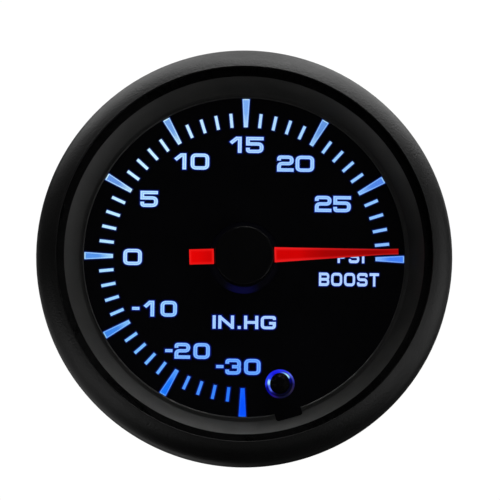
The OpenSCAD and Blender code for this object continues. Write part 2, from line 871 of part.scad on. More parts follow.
// Brass block that carries the movement, holds the tube's fixed end and feeds it with pressure
module socket_block() {
    post_top = z_mid + tube_h / 2 + post_cap;
    z_passage = z_floor + passage_h;
    color([0.8, 0.65, 0.3]) facing() difference() {
        union() {
            ring(boss_r, 0, z_floor, z_seat);
            translate([0, 0, z_floor]) linear_extrude(arm_h) bar([0, 0], post_at, arm_w);
            translate([post_at.x, post_at.y, z_floor]) cylinder(r = post_r, h = post_top - z_floor);
            ring(stub_d / 2, 0, z_stub_end, z_floor);
        }
        translate([0, 0, z_stub_end - over]) cylinder(d = port_d, h = z_passage - z_stub_end + over + port_d);
        translate([0, 0, z_stub_end - over]) cylinder(r = nipple_thread_r + fit_gap, h = nipple_thread_l + over);
        translate([0, 0, z_passage]) rotate(post_angle) rotate([0, 90, 0])
            cylinder(d = port_d * passage_share, h = tube_r);
        translate([post_at.x, post_at.y, z_passage]) cylinder(d = port_d, h = z_mid + tube_h / 2 - tube_t - z_passage);
        along_tube() tube_section(tube_slot_gap);
        translate([0, 0, z_seat - arbor_recess_h]) cylinder(r = arbor_recess_r, h = arbor_recess_h + over);
        at_socket_screws() translate([0, 0, z_seat - socket_screw_l]) cylinder(r = pillar_bore_r, h = socket_screw_l + over);
    }
}

module fitting_washer() {
    color([0.75, 0.75, 0.77]) facing()
        ring(fitting_washer_r, stub_d / 2 + fit_gap, -body_depth - fitting_washer_t, -body_depth);
}

module fitting_nut() {
    low = -body_depth - fitting_washer_t - fitting_nut_h;
    color([0.8, 0.65, 0.3]) facing() difference() {
        translate([0, 0, low]) hexagon(fitting_nut_af, fitting_nut_h);
        drill(stub_d / 2 + fit_gap, low, low + fitting_nut_h);
    }
}

// Barbed nipple for the pressure hose, screwed into the stub
module hose_nipple() {
    barb_r = barb_d / 2;
    root_r = barb_r - barb_depth;
    section = [
        [0, z_nipple],
        for (i = [0:barb_count - 1]) each [
            [root_r, z_nipple - i * barb_l],
            [root_r, z_nipple - i * barb_l - barb_l / 4],
            [barb_r, z_nipple - i * barb_l - barb_l / 4],
            [barb_r, z_nipple - i * barb_l - barb_l / 4 - barb_crest],
        ],
        [root_r, z_nipple - barb_count * barb_l],
        [0, z_nipple - barb_count * barb_l],
    ];
    color([0.8, 0.65, 0.3]) facing() difference() {
        union() {
            rotate_extrude() polygon(section);
            translate([0, 0, z_nipple]) hexagon(nipple_af, nipple_hex_h);
            translate([0, 0, z_stub_end]) cylinder(r = nipple_thread_r, h = nipple_thread_l - fit_gap);
        }
        drill(port_d / 2, z_nipple - barb_count * barb_l, z_stub_end + nipple_thread_l);
    }
}

// Round cup with the flange that the bezel grips and three ribs that carry the lamp board
module housing() {
    relief = 0.2;
    corner = 0.8;
    section = [
        [0, -body_depth],
        [body_r - corner, -body_depth],
        [body_r, corner - body_depth],
        [body_r, 0],
        [body_r - relief, z_flange],
        [flange_r, z_flange],
        [flange_r, z_flange_top],
        [body_r, z_flange_top],
        [body_r, z_neck],
        [inner_r, z_neck],
        [inner_r, z_floor],
        [0, z_floor],
    ];
    color([0.04, 0.04, 0.04]) facing() difference() {
        union() {
            rotate_extrude() polygon(section);
            for (i = [0:guide_legs - 1])
                rotate(guide_leg_start + i * 360 / guide_legs)
                    translate([inner_r - rib_depth, -rib_w / 2, z_floor])
                        cube([rib_depth + body_wall / 2, rib_w, z_board - z_floor]);
        }
        drill(stub_d / 2 + stub_hole_gap, -body_depth, z_floor);
        at_studs() drill(stud_d / 2 + fit_gap, -body_depth, z_floor);
        translate([0, grommet_y]) drill(grommet_neck_r + fit_gap, -body_depth, z_floor);
    }
}

module housing_seal() {
    color([0.02, 0.02, 0.02]) facing() ring(flange_r, body_r + fit_gap, z_flange_top, z_seal_top);
}

// Rubber grommet for the lamp wires
module wire_grommet() {
    section = [
        [0, -body_depth - grommet_lip],
        [grommet_r - grommet_lip / 2, -body_depth - grommet_lip],
        [grommet_r, -body_depth - grommet_lip / 2],
        [grommet_r, -body_depth],
        [grommet_neck_r, -body_depth],
        [grommet_neck_r, z_floor],
        [grommet_r, z_floor],
        [grommet_r - grommet_lip / 2, z_floor + grommet_lip],
        [0, z_floor + grommet_lip],
    ];
    color([0.03, 0.03, 0.03]) facing() translate([0, grommet_y]) difference() {
        rotate_extrude() polygon(section);
        drill(wire_d / 2, -body_depth - grommet_lip, z_floor + grommet_lip);
    }
}

module at_studs() {
    for (side = [-1, 1]) translate([side * stud_at_r, 0]) children();
}

module mounting_studs() {
    end_chamfer = 0.5;
    low = -body_depth - stud_l;
    color([0.75, 0.75, 0.77]) facing() at_studs() {
        translate([0, 0, low + end_chamfer]) cylinder(d = stud_d, h = z_floor - low - end_chamfer);
        translate([0, 0, low]) cylinder(d1 = stud_d - 2 * end_chamfer, d2 = stud_d, h = end_chamfer);
        translate([0, 0, z_floor]) cylinder(r = stud_head_r, h = stud_head_h);
    }
}

// One half of the bracket's strip seen from the side: a leg, a round bend and half the bridge
module half_strip() {
    outer_x = leg_x + strip_t;
    bend_in = bend_r;
    bend_out = bend_r + strip_t;
    z_bend = z_bridge + bend_in;
    translate([leg_x, z_bend]) square([strip_t, -panel_t - z_bend]);
    translate([0, z_bridge - strip_t]) square([outer_x - bend_out, strip_t]);
    intersection() {
        translate([outer_x - bend_out, z_bend]) difference() {
            circle(r = bend_out);
            circle(r = bend_in);
        }
        translate([outer_x - bend_out, z_bridge - strip_t]) square([bend_out, bend_out]);
    }
}

// U-shaped strip whose legs bear on the back of the panel
module clamp_bracket() {
    color([0.72, 0.72, 0.74]) facing() difference() {
        union() {
            for (side = [0, 1]) mirror([side, 0, 0])
                rotate([90, 0, 0]) translate([0, 0, -leg_w / 2]) linear_extrude(leg_w) half_strip();
            ring(bridge_ring_r, 0, z_bridge - strip_t, z_bridge);
        }
        drill(bridge_hole_r, z_bridge - strip_t, z_bridge);
        at_studs() drill(stud_d / 2 + stud_hole_gap, z_bridge - strip_t, z_bridge);
    }
}

module lock_washers() {
    color([0.75, 0.75, 0.77]) facing() at_studs() difference() {
        ring(lock_washer_r, stud_d / 2 + stud_hole_gap, z_nut, z_nut + lock_washer_t);
        translate([0, -lock_washer_split / 2, z_nut - over])
            cube([lock_washer_r + over, lock_washer_split, lock_washer_t + 2 * over]);
    }
}

// Knurled nut with a plain collar at its rear
module thumb_nut(side) {
    collar = nut_h * nut_collar_share;
    low = z_nut - nut_h;
    color([0.8, 0.65, 0.3]) facing() translate([side * stud_at_r, 0]) difference() {
        union() {
            ring(nut_d / 2, 0, low + collar, z_nut);
            ring(nut_d / 2 * nut_collar_r_share, 0, low, low + collar);
        }
        drill(stud_d / 2 + pivot_gap, low, z_nut);
        for (i = [0:knurls - 1])
            rotate((i + 0.5) * 360 / knurls) translate([nut_d / 2 + knurl_r / 2, 0])
                drill(knurl_r, low + collar, z_nut);
    }
}

module left_thumb_nut() {
    thumb_nut(-1);
}

module right_thumb_nut() {
    thumb_nut(1);
}

bezel();
lens();
lens_gasket();
trim_ring();
dial_mask();
dial_plate();
light_guide();
lamp_board();
lamps();
stop_peg();
pointer();
hub_cap();
pointer_arbor();
hairspring_collet();
hairspring();
hairspring_stud();
front_plate();
back_plate();
plate_pillars();
plate_screws();
socket_screws();
sector_gear();
sector_arbor();
sector_tail_pin();
link_rod();
tip_pivot_pin();
tube_tip_block();
bourdon_tube();
socket_block();
fitting_washer();
fitting_nut();
hose_nipple();
housing();
housing_seal();
wire_grommet();
mounting_studs();
clamp_bracket();
lock_washers();
left_thumb_nut();
right_thumb_nut();
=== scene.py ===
"""Looks of the boost gauge: dial print and light, finishes, threads, knurls, studio and camera."""

import math

import bmesh
import bpy
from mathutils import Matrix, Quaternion, Vector


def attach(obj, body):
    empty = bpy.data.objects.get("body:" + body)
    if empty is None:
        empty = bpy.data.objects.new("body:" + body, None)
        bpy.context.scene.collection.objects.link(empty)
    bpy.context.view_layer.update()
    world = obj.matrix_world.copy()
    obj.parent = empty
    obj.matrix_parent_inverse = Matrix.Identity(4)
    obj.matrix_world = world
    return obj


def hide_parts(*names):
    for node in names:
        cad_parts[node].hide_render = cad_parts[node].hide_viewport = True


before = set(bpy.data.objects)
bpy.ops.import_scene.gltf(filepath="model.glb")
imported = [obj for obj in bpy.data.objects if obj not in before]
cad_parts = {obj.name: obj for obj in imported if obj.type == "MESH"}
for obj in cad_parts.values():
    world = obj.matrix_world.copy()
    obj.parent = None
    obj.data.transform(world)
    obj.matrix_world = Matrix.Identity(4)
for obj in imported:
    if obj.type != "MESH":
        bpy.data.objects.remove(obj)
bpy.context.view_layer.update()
scene = bpy.context.scene

MM = 0.001
TURN = 2 * math.pi

# Fronts of the dial's print and of its plate, in millimetres along the axis towards the viewer
Z_DIAL = 5.4
Z_PLATE = 5.3
# The stop peg's place on the dial: radius, and angle counter-clockwise from the right
PEG_R = 19.0
PEG_ANGLE = 286.4
# The pointer at rest: its angle, and how far it reaches from its axis each way
POINTER_ANGLE = 2.2
POINTER_TIP = 22.2
POINTER_TAIL = 7.9


def place(x, y, z):
    """A point of the gauge's local frame, in millimetres, as a point of the row frame in metres."""
    return Vector((x * MM, -z * MM, y * MM))


def polar(radius, degrees):
    a = math.radians(degrees)
    return radius * math.cos(a), radius * math.sin(a)


def turned(points, degrees):
    """Points turned counter-clockwise round the origin."""
    c, s = polar(1, degrees)
    return [(x * c - y * s, x * s + y * c) for x, y in points]


def linear(red, green, blue):
    """Screen values from 0 to 255 as a linear colour."""

    def one(value):
        share = value / 255
        return share / 12.92 if value <= 10 else ((share + 0.055) / 1.055) ** 2.4

    return one(red), one(green), one(blue), 1.0


# ---- Meshes


class Build:
    """Points in local millimetres and faces, gathered into one mesh."""

    def __init__(self):
        self.points = []
        self.faces = []

    def add(self, points, faces):
        base = len(self.points)
        self.points += points
        self.faces += [tuple(base + i for i in f) for f in faces]

    def grid(self, rows, caps=True):
        """Joins rows of points, each a closed loop, into a skin. caps closes the first and last."""
        n = len(rows[0])
        faces = []
        for r in range(len(rows) - 1):
            for i in range(n):
                j = (i + 1) % n
                faces.append((r * n + i, r * n + j, (r + 1) * n + j, (r + 1) * n + i))
        if caps:
            faces.append(tuple(reversed(range(n))))
            faces.append(tuple((len(rows) - 1) * n + i for i in range(n)))
        self.add([p for row in rows for p in row], faces)

    def piece(self, name, body, slot, material, smooth=0):
        """Makes the object. Edges flatter than smooth, in degrees, are shaded smooth."""
        mesh = bpy.data.meshes.new(name)
        mesh.from_pydata([place(*p) for p in self.points], [], self.faces)
        mesh.validate()
        mesh.update()
        obj = bpy.data.objects.new(name, mesh)
        scene.collection.objects.link(obj)
        obj.data.materials.append(material)
        recalc(obj)
        if smooth:
            chosen = {"object": obj, "active_object": obj, "selected_editable_objects": [obj]}
            with bpy.context.temp_override(**chosen):
                bpy.ops.object.shade_smooth_by_angle(angle=math.radians(smooth))
        if slot == "dial_light":
            # Its light goes straight out and doesn't tint the ring round the dial
            obj.visible_diffuse = obj.visible_glossy = False
        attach(obj, body)
        return obj


def recalc(obj):
    """Joins points that coincide and turns every face outwards."""
    bm = bmesh.new()
    bm.from_mesh(obj.data)
    bmesh.ops.remove_doubles(bm, verts=bm.verts, dist=1e-7)
    bmesh.ops.recalc_face_normals(bm, faces=bm.faces)
    bm.to_mesh(obj.data)
    bm.free()


# Steps round each corner of a path
CORNER_STEPS = 6


def rounded(points, closed):
    """A path whose corners carry a radius each: points are (x, y, radius)."""
    out = []
    n = len(points)
    for i, (x, y, r) in enumerate(points):
        here = Vector((x, y))
        if r <= 0 or (not closed and i in (0, n - 1)):
            out.append(here)
            continue
        before = Vector(points[i - 1][:2])
        after = Vector(points[(i + 1) % n][:2])
        a, b = (before - here), (after - here)
        reach = min(r, a.length / 2, b.length / 2)
        a, b = a.normalized(), b.normalized()
        start, end = here + a * reach, here + b * reach
        for s in range(CORNER_STEPS + 1):
            t = s / CORNER_STEPS
            out.append(start * (1 - t) ** 2 + here * 2 * t * (1 - t) + end * t**2)
    kept = [p for i, p in enumerate(out) if i == 0 or (p - out[i - 1]).length > 1e-3]
    if closed and (kept[0] - kept[-1]).length <= 1e-3:
        kept.pop()
    return kept


def offset_lines(path, closed, half):
    """The two edges of a stroke along a path, mitred at its corners."""
    n = len(path)
    left, right = [], []
    for i, p in enumerate(path):
        into = (p - path[i - 1]).normalized() if i or closed else None
        out = (path[(i + 1) % n] - p).normalized() if i < n - 1 or closed else None
        into, out = into or out, out or into
        normal = Vector((-(into + out).y, (into + out).x)).normalized()
        grow = half / max(normal.dot(Vector((-out.y, out.x))), 0.5)
        left.append(p + normal * grow)
        right.append(p - normal * grow)
    return left, right


def stroke(build, path, closed, half, low, high, to_dial):
    """A raised line of print along a path."""
    left, right = offset_lines(path, closed, half)
    n = len(path)
    points = [to_dial(p, z) for z in (low, high) for side in (left, right) for p in side]
    ll, lr, hl, hr = 0, n, 2 * n, 3 * n
    faces = []
    for i in range(n if closed else n - 1):
        j = (i + 1) % n
        faces += [
            (hl + i, hl + j, hr + j, hr + i),
            (ll + i, lr + i, lr + j, ll + j),
            (ll + i, ll + j, hl + j, hl + i),
            (lr + i, hr + i, hr + j, lr + j),
        ]
    if not closed:
        faces += [(ll, hl, hr, lr), (n - 1, lr + n - 1, hr + n - 1, hl + n - 1)]
    build.add(points, faces)


def slab(build, outline, low, high):
    """A flat plate with a given outline."""
    n = len(outline)
    points = [(x, y, z) for z in (low, high) for x, y in outline]
    faces = [tuple(range(n, 2 * n)), tuple(reversed(range(n)))]
    faces += [(i, (i + 1) % n, n + (i + 1) % n, n + i) for i in range(n)]
    build.add(points, faces)


def frame_slab(build, outer, inner, low, high):
    """A flat frame between two outlines with the same number of corners."""
    n = len(outer)
    points = [(x, y, z) for z in (low, high) for loop in (outer, inner) for x, y in loop]
    faces = []
    for i in range(n):
        j = (i + 1) % n
        faces += [
            (2 * n + i, 2 * n + j, 3 * n + j, 3 * n + i),
            (i, n + i, n + j, j),
            (i, j, 2 * n + j, 2 * n + i),
            (n + i, 3 * n + i, 3 * n + j, n + j),
        ]
    build.add(points, faces)


# ---- Node materials


class Nodes:
    """Short calls for making a node tree."""

    def __init__(self, name, world=False):
        self.owner = (bpy.data.worlds if world else bpy.data.materials).new(name)
        self.owner.use_nodes = True
        self.tree = self.owner.node_tree
        self.tree.nodes.clear()

    def node(self, kind, inputs=None, **settings):
        """Adds a node: inputs are values, nodes or sockets by the name or number of its sockets."""
        n = self.tree.nodes.new(kind)
        for key, value in settings.items():
            setattr(n, key, value)
        for key, value in (inputs or {}).items():
            self.set(n.inputs[key], value)
        return n

    def set(self, socket, value):
        if isinstance(value, bpy.types.Node):
            value = next(s for s in value.outputs if s.enabled)
        if isinstance(value, bpy.types.NodeSocket):
            self.tree.links.new(value, socket)
        else:
            socket.default_value = value

    def math(self, operation, a, b=0.0):
        return self.node("ShaderNodeMath", {0: a, 1: b}, operation=operation)

    def length(self, a, b):
        squares = self.math("MULTIPLY", a, a), self.math("MULTIPLY", b, b)
        return self.math("SQRT", self.math("ADD", *squares))

    def turn_share(self, across, up):
        """Share of a turn, counter-clockwise from the right."""
        angle = self.math("DIVIDE", self.math("ARCTAN2", up, across), TURN)
        return self.math("FRACT", self.math("ADD", angle, 1.0))

    def millimetres(self):
        """Object coordinates in millimetres."""
        metres = self.node("ShaderNodeTexCoord").outputs["Object"]
        return self.node("ShaderNodeVectorMath", {0: metres, "Scale": 1 / MM}, operation="SCALE")

    def noise(self, vector, size, detail=3.0):
        """Noise from 0 to 1, mostly from 0.3 to 0.7, with features of a size in millimetres."""
        inputs = {"Vector": vector, "Scale": 1 / size, "Detail": detail, "Roughness": 0.55}
        return self.node("ShaderNodeTexNoise", inputs).outputs[0]

    def spread(self, value, low, high, new_low, new_high, smooth=False):
        """Maps the range from low to high onto the new one, and holds it at its ends."""
        return self.node(
            "ShaderNodeMapRange",
            {0: value, 1: low, 2: high, 3: new_low, 4: new_high},
            interpolation_type="SMOOTHSTEP" if smooth else "LINEAR",
        )

    def mix(self, factor, a, b, blend="MIX"):
        n = self.node("ShaderNodeMix", data_type="RGBA", blend_type=blend)
        self.set(n.inputs[0], factor)
        self.set(n.inputs[6], a)
        self.set(n.inputs[7], b)
        return n.outputs[2]

    def ramp(self, value, stops):
        """A colour ramp. A new one has two elements: the first is used, the last is taken off."""
        n = self.node("ShaderNodeValToRGB", {0: value})
        elements = n.color_ramp.elements
        for position, colour in stops:
            e = elements[0] if position == stops[0][0] else elements.new(position)
            e.position, e.color = position, colour
        for e in [e for e in elements if e.position > stops[-1][0] + 1e-6]:
            elements.remove(e)
        return n.outputs[0]

    def front(self):
        """1 on faces that look at the viewer's side of the gauge, 0 on the rest."""
        normal = self.node("ShaderNodeNewGeometry").outputs["True Normal"]
        y = self.node("ShaderNodeSeparateXYZ", {0: normal}).outputs[1]
        return self.math("LESS_THAN", y, -0.5)

    def dial_radius(self, mm):
        """Distance from the gauge's axis in millimetres."""
        xyz = self.node("ShaderNodeSeparateXYZ", {0: mm})
        flat = self.node("ShaderNodeCombineXYZ", {0: xyz.outputs[0], 1: xyz.outputs[2]})
        return self.node("ShaderNodeVectorMath", {0: flat}, operation="LENGTH").outputs["Value"]

    def dial_angle(self, mm):
        """Share of a turn round the gauge's axis."""
        xyz = self.node("ShaderNodeSeparateXYZ", {0: mm})
        return self.turn_share(xyz.outputs[0], xyz.outputs[2])

    def principled(self, **inputs):
        """Ends the material in one Principled shader: inputs are its sockets, _ for a space."""
        named = {key.replace("_", " "): value for key, value in inputs.items()}
        shader = self.node("ShaderNodeBsdfPrincipled", named)
        self.node("ShaderNodeOutputMaterial", {"Surface": shader})
        return self.owner


def surface(
    name,
    colour,
    *,
    rough,
    grain,
    metallic=0.0,
    mottle=(4.0, 0.12),
    smudge=0.06,
    lathe=None,
    brushed=None,
    edge=0.06,
    thread=None,
    specular=0.5,
    ior=1.5,
    glow=0.0,
):
    """A finish with fine grain, uneven colour and gloss, and softened edges, in millimetres.
    grain is (size, strength), mottle (size, share of the colour), smudge the change of gloss.
    lathe is the (x, y) of a lathe's axis, brushed a stretch for each direction of the row frame.
    thread is (pitch, where it starts), edge the radius of the softened edges, glow a grey light."""
    n = Nodes(name)
    mm = n.millimetres()
    low = tuple(c * (1 - mottle[1]) for c in colour) + (1.0,)
    high = tuple(min(c * (1 + mottle[1]), 1.0) for c in colour) + (1.0,)
    patch = n.spread(n.noise(mm, mottle[0], 4.0), 0.3, 0.7, 0.0, 1.0)
    base = n.mix(patch, low, high)
    gloss = n.spread(n.noise(mm, mottle[0] * 0.45, 5.0), 0.3, 0.7, rough - smudge, rough + smudge)
    height = n.noise(mm, grain[0], 2.0)
    if lathe:
        xyz = n.node("ShaderNodeSeparateXYZ", {0: mm})
        dx = n.math("SUBTRACT", xyz.outputs[0], lathe[0])
        dz = n.math("SUBTRACT", xyz.outputs[2], lathe[1])
        along = n.node("ShaderNodeCombineXYZ", {0: n.length(dx, dz), 1: xyz.outputs[1]})
        height = n.mix(0.75, height, n.noise(along, 0.11, 2.0))
    if brushed:
        long = n.node("ShaderNodeVectorMath", {0: mm, 1: brushed}, operation="MULTIPLY")
        height = n.mix(0.8, height, n.noise(long, 0.12, 3.0))
    soft = n.node("ShaderNodeBevel", {"Radius": edge * MM}, samples=4)
    bump = n.node(
        "ShaderNodeBump",
        {"Strength": grain[1], "Distance": 0.1 * MM, "Height": height, "Normal": soft.outputs[0]},
    )
    if thread:
        pitch, start = thread
        depth = n.node("ShaderNodeSeparateXYZ", {0: mm}).outputs[1]
        run = n.math("ADD", n.math("DIVIDE", depth, pitch), n.dial_angle(mm))
        wave = n.math("PINGPONG", run, 0.5)
        there = n.math("GREATER_THAN", depth, start)
        bump = n.node(
            "ShaderNodeBump",
            {
                "Strength": 1.0,
                "Distance": pitch * MM,
                "Height": n.math("MULTIPLY", wave, there),
                "Normal": bump.outputs[0],
            },
        )
    return n.principled(
        Base_Color=base,
        Roughness=gloss,
        Metallic=metallic,
        Normal=bump.outputs[0],
        Specular_IOR_Level=specular,
        IOR=ior,
        Emission_Color=(glow, glow, glow, 1),
        Emission_Strength=1.0 if glow else 0.0,
    )


def lit(name, colour, strength, base=(0.01, 0.01, 0.02, 1.0), rough=0.5, speckle=0.05):
    """A lit print: colour is a function that takes (Nodes, millimetres) and gives a colour."""
    n = Nodes(name)
    mm = n.millimetres()
    glow = colour(n, mm)
    grains = n.spread(n.noise(mm, 0.25, 3.0), 0.3, 0.7, 1 - speckle, 1 + speckle)
    glow = n.mix(1.0, glow, grains, "MULTIPLY")
    grain = n.noise(mm, 0.08)
    bump = n.node("ShaderNodeBump", {"Strength": 0.05, "Distance": 0.02 * MM, "Height": grain})
    return n.principled(
        Base_Color=base,
        Roughness=rough,
        Emission_Color=glow,
        Emission_Strength=strength,
        Normal=bump.outputs[0],
    )


def coloured(stops, low=0.0, high=1.0):
    """Stops of a ramp that runs from low to high: stops are (position, red, green, blue)."""
    return [((at - low) / (high - low), linear(*rgb)) for at, *rgb in stops]


def by_angle(stops):
    """A colour that runs round the dial: stops are (degrees, red, green, blue)."""
    return lambda n, mm: n.ramp(n.dial_angle(mm), coloured(stops, 0, 360))


# What lies behind the lens is seen through its two faces: the print's light makes up for that
LENS_ALPHA = 0.14
GLOW = round(1 / (1 - LENS_ALPHA) ** 2, 3)

# Windows of the marks: radius at their ends, and half their width. Main marks have two widths, at
# the inner and at the outer end.
MARK_OUTER = 23.05
MARK_INNER = MARK_OUTER - 4.12
SMALL_OUTER = MARK_INNER + 2.06
SMALL_HALF = 0.23
MAIN_HALF = (0.3024, 0.54)
MARKS = 46
MARK_STEP = 6
MAIN_EVERY = 5
# Radius inside which the plate stays dark
DARK_WITHIN = 18.5

# Colours of the light round the dial: degrees, red, green, blue
EDGE_COLOURS = [
    (0, 136, 188, 254),
    (20, 144, 198, 254),
    (55, 160, 212, 254),
    (90, 186, 226, 255),
    (125, 206, 244, 255),
    (150, 204, 243, 255),
    (185, 176, 226, 254),
    (204, 152, 210, 255),
    (225, 120, 188, 252),
    (246, 82, 154, 252),
    (264, 40, 122, 246),
    (272, 12, 95, 250),
    (300, 10, 60, 200),
    (359, 136, 188, 254),
]
FILL_COLOURS = [
    (0, 64, 126, 244),
    (30, 82, 134, 232),
    (60, 97, 148, 224),
    (90, 120, 171, 244),
    (120, 110, 160, 230),
    (150, 100, 148, 226),
    (180, 86, 148, 234),
    (210, 60, 132, 232),
    (240, 16, 115, 250),
    (270, 2, 80, 252),
    (359, 64, 126, 244),
]


def mark_share(n, mm):
    """0 on the middle line of a mark, 1 on its long sides."""
    radius, turn = n.dial_radius(mm), n.dial_angle(mm)

    def aside(step):
        """Distance from the middle line of the nearest mark, for marks at a step in degrees."""
        folded = n.math("PINGPONG", n.math("MULTIPLY", turn, 360), step / 2)
        return n.math("MULTIPLY", radius, n.math("SINE", n.math("RADIANS", folded)))

    from_main, from_small = aside(MARK_STEP * MAIN_EVERY), aside(MARK_STEP)
    half = n.spread(radius, MARK_INNER, MARK_OUTER, *MAIN_HALF)
    is_main = n.math("LESS_THAN", from_main, 0.75)
    small = n.math("DIVIDE", from_small, SMALL_HALF)
    main = n.math("DIVIDE", from_main, half)
    return n.math("ADD", small, n.math("MULTIPLY", is_main, n.math("SUBTRACT", main, small)))


def lit_plate(n, mm):
    """Light behind the windows: it turns a deeper blue towards the sides of each mark."""
    side = n.spread(mark_share(n, mm), 0.62, 1.0, 0.0, 0.85, smooth=True)
    deep = n.mix(1.0, by_angle(EDGE_COLOURS)(n, mm), (0.3, 0.45, 1.0, 1.0), "MULTIPLY")
    colour = n.mix(side, by_angle(EDGE_COLOURS)(n, mm), deep)
    outside = n.math("GREATER_THAN", n.dial_radius(mm), DARK_WITHIN)
    lit_zone = n.math("MULTIPLY", n.front(), outside)
    return n.mix(1.0, colour, lit_zone, "MULTIPLY")


def lit_fill(n, mm):
    """Middle of a main mark, lighter towards its inner end."""
    inner = n.spread(n.dial_radius(mm), 19.2, 21.2, 0.65, 0.0, smooth=True)
    return n.mix(inner, by_angle(FILL_COLOURS)(n, mm), by_angle(EDGE_COLOURS)(n, mm))


HALO_COLOURS = [(0, 0, 8, 54), (180, 0, 8, 58), (270, 0, 8, 78), (359, 0, 8, 54)]
FRINGE_COLOURS = [(0, 44, 84, 232), (150, 44, 86, 228), (270, 20, 62, 214), (359, 44, 84, 232)]
NUMERAL_COLOURS = [
    (0, 159, 207, 255),
    (60, 167, 213, 255),
    (90, 182, 222, 255),
    (120, 195, 236, 255),
    (180, 187, 230, 255),
    (210, 164, 217, 255),
    (240, 138, 194, 255),
    (266, 114, 176, 255),
    (300, 114, 176, 255),
    (359, 159, 207, 255),
]
NUMERAL_CORE_COLOURS = [
    (0, 136, 184, 255),
    (60, 138, 186, 255),
    (90, 148, 192, 255),
    (120, 155, 201, 255),
    (180, 148, 194, 255),
    (210, 127, 182, 255),
    (240, 110, 167, 255),
    (266, 85, 150, 255),
    (300, 85, 150, 255),
    (359, 136, 184, 255),
]
WORD_COLOURS = [(0, 193, 224, 255), (200, 165, 212, 255), (359, 193, 224, 255)]
WORD_CORE_COLOURS = [(0, 167, 201, 255), (200, 155, 201, 255), (359, 167, 201, 255)]
mark_edge = lit("mark_edge", lit_plate, GLOW)
mark_fill = lit("mark_fill", lit_fill, GLOW)
mark_halo = lit("mark_halo", by_angle(HALO_COLOURS), GLOW)
print_fringe = lit("print_fringe", by_angle(FRINGE_COLOURS), GLOW)
numeral_edge = lit("numeral_edge", by_angle(NUMERAL_COLOURS), GLOW)
numeral_core = lit("numeral_core", by_angle(NUMERAL_CORE_COLOURS), GLOW)
word_edge = lit("word_edge", by_angle(WORD_COLOURS), GLOW)
word_core = lit("word_core", by_angle(WORD_CORE_COLOURS), GLOW)

# ---- The dial's print

# Strokes of each letter: its path in shares of the letter's box, as (across, up, corner), and
# whether its start and its end reach the edge of the box, or None for a closed path
LETTERS = {
    "0": [([(0, 0, 1), (1, 0, 1), (1, 1, 1), (0, 1, 1)], None)],
    "1": [([(0, 0.64, 0), (0.66, 1, 0), (1, 1, 0), (1, 0, 0)], (False, True))],
    "2": [
        (
            [(0, 0.74, 0), (0, 1, 1), (1, 1, 1), (1, 0.5, 1), (0, 0.5, 1), (0, 0, 0), (1, 0, 0)],
            (False, True),
        )
    ],
    "3": [
        ([(0, 0.74, 0), (0, 1, 1), (1, 1, 1), (1, 0.5, 0.5), (0.42, 0.5, 0)], (False, False)),
        ([(0.42, 0.5, 0), (1, 0.5, 0.5), (1, 0, 1), (0, 0, 1), (0, 0.26, 0)], (False, False)),
    ],
    "5": [
        (
            [(1, 1, 0), (0, 1, 0), (0, 0.58, 0), (1, 0.58, 1), (1, 0, 1), (0, 0, 1), (0, 0.27, 0)],
            (True, False),
        )
    ],
    "-": [([(0, 0.5, 0), (1, 0.5, 0)], (True, True))],
    "I": [([(0.5, 0, 0), (0.5, 1, 0)], (True, True))],
    "N": [
        ([(0, 0, 0), (0, 1, 0)], (True, True)),
        ([(1, 0, 0), (1, 1, 0)], (True, True)),
        ([(0, 1, 0), (1, 0, 0)], (False, False)),
    ],
    ".": [([(0.5, 0, 0), (0.5, 0.01, 0)], (True, True))],
    "H": [
        ([(0, 0, 0), (0, 1, 0)], (True, True)),
        ([(1, 0, 0), (1, 1, 0)], (True, True)),
        ([(0, 0.5, 0), (1, 0.5, 0)], (False, False)),
    ],
    "G": [
        (
            [
                (1, 0.76, 0),
                (1, 1, 1),
                (0, 1, 1),
                (0, 0, 1),
                (1, 0, 1),
                (1, 0.44, 0),
                (0.58, 0.44, 0),
            ],
            (False, False),
        )
    ],
    "B": [
        ([(0, 0.5, 0), (1, 0.5, 1), (1, 1, 1), (0, 1, 0), (0, 0, 0)], (False, False)),
        ([(0, 0, 0), (1, 0, 1), (1, 0.5, 1), (0.4, 0.5, 0)], (True, False)),
    ],
    "O": [([(0, 0, 1), (1, 0, 1), (1, 1, 1), (0, 1, 1)], None)],
    "S": [
        (
            [
                (1, 0.76, 0),
                (1, 1, 1),
                (0, 1, 1),
                (0, 0.5, 1),
                (1, 0.5, 1),
                (1, 0, 1),
                (0, 0, 1),
                (0, 0.24, 0),
            ],
            (False, False),
        )
    ],
    "T": [
        ([(0, 1, 0), (1, 1, 0)], (True, True)),
        ([(0.5, 1, 0), (0.5, 0, 0)], (False, True)),
    ],
    "P": [([(0, 0, 0), (0, 1, 0), (1, 1, 1), (1, 0.42, 1), (0, 0.42, 0)], (True, False))],
}
# Styles, in millimetres: widths of the letters' boxes, their height, weight of the strokes, radius
# of the corners, and how far letters are stretched across
NUMERAL = {
    "widths": {"0": 2.66, "1": 1.8, "2": 2.36, "3": 2.36, "5": 2.5, "-": 1.14},
    "height": 2.31,
    "weight": 0.45,
    "corner": 0.5,
    "stretch": 1.15,
}
TIGHT = dict(NUMERAL, widths={"0": 2.34, "1": 1.58, "2": 2.22, "3": 2.22, "-": 1.03}, height=2.26)
WIDE = {
    "widths": {"I": 0.49, "N": 2.24, ".": 0.43, "H": 2.02, "G": 2.15},
    "height": 1.9,
    "weight": 0.375,
    "corner": 0.42,
    "stretch": 1.12,
}
NARROW = {
    "widths": {"B": 1.46, "O": 1.56, "S": 1.47, "T": 1.32, "P": 1.23, "I": 0.36},
    "height": 1.9,
    "weight": 0.368,
    "corner": 0.5,
    "stretch": 0.82,
}
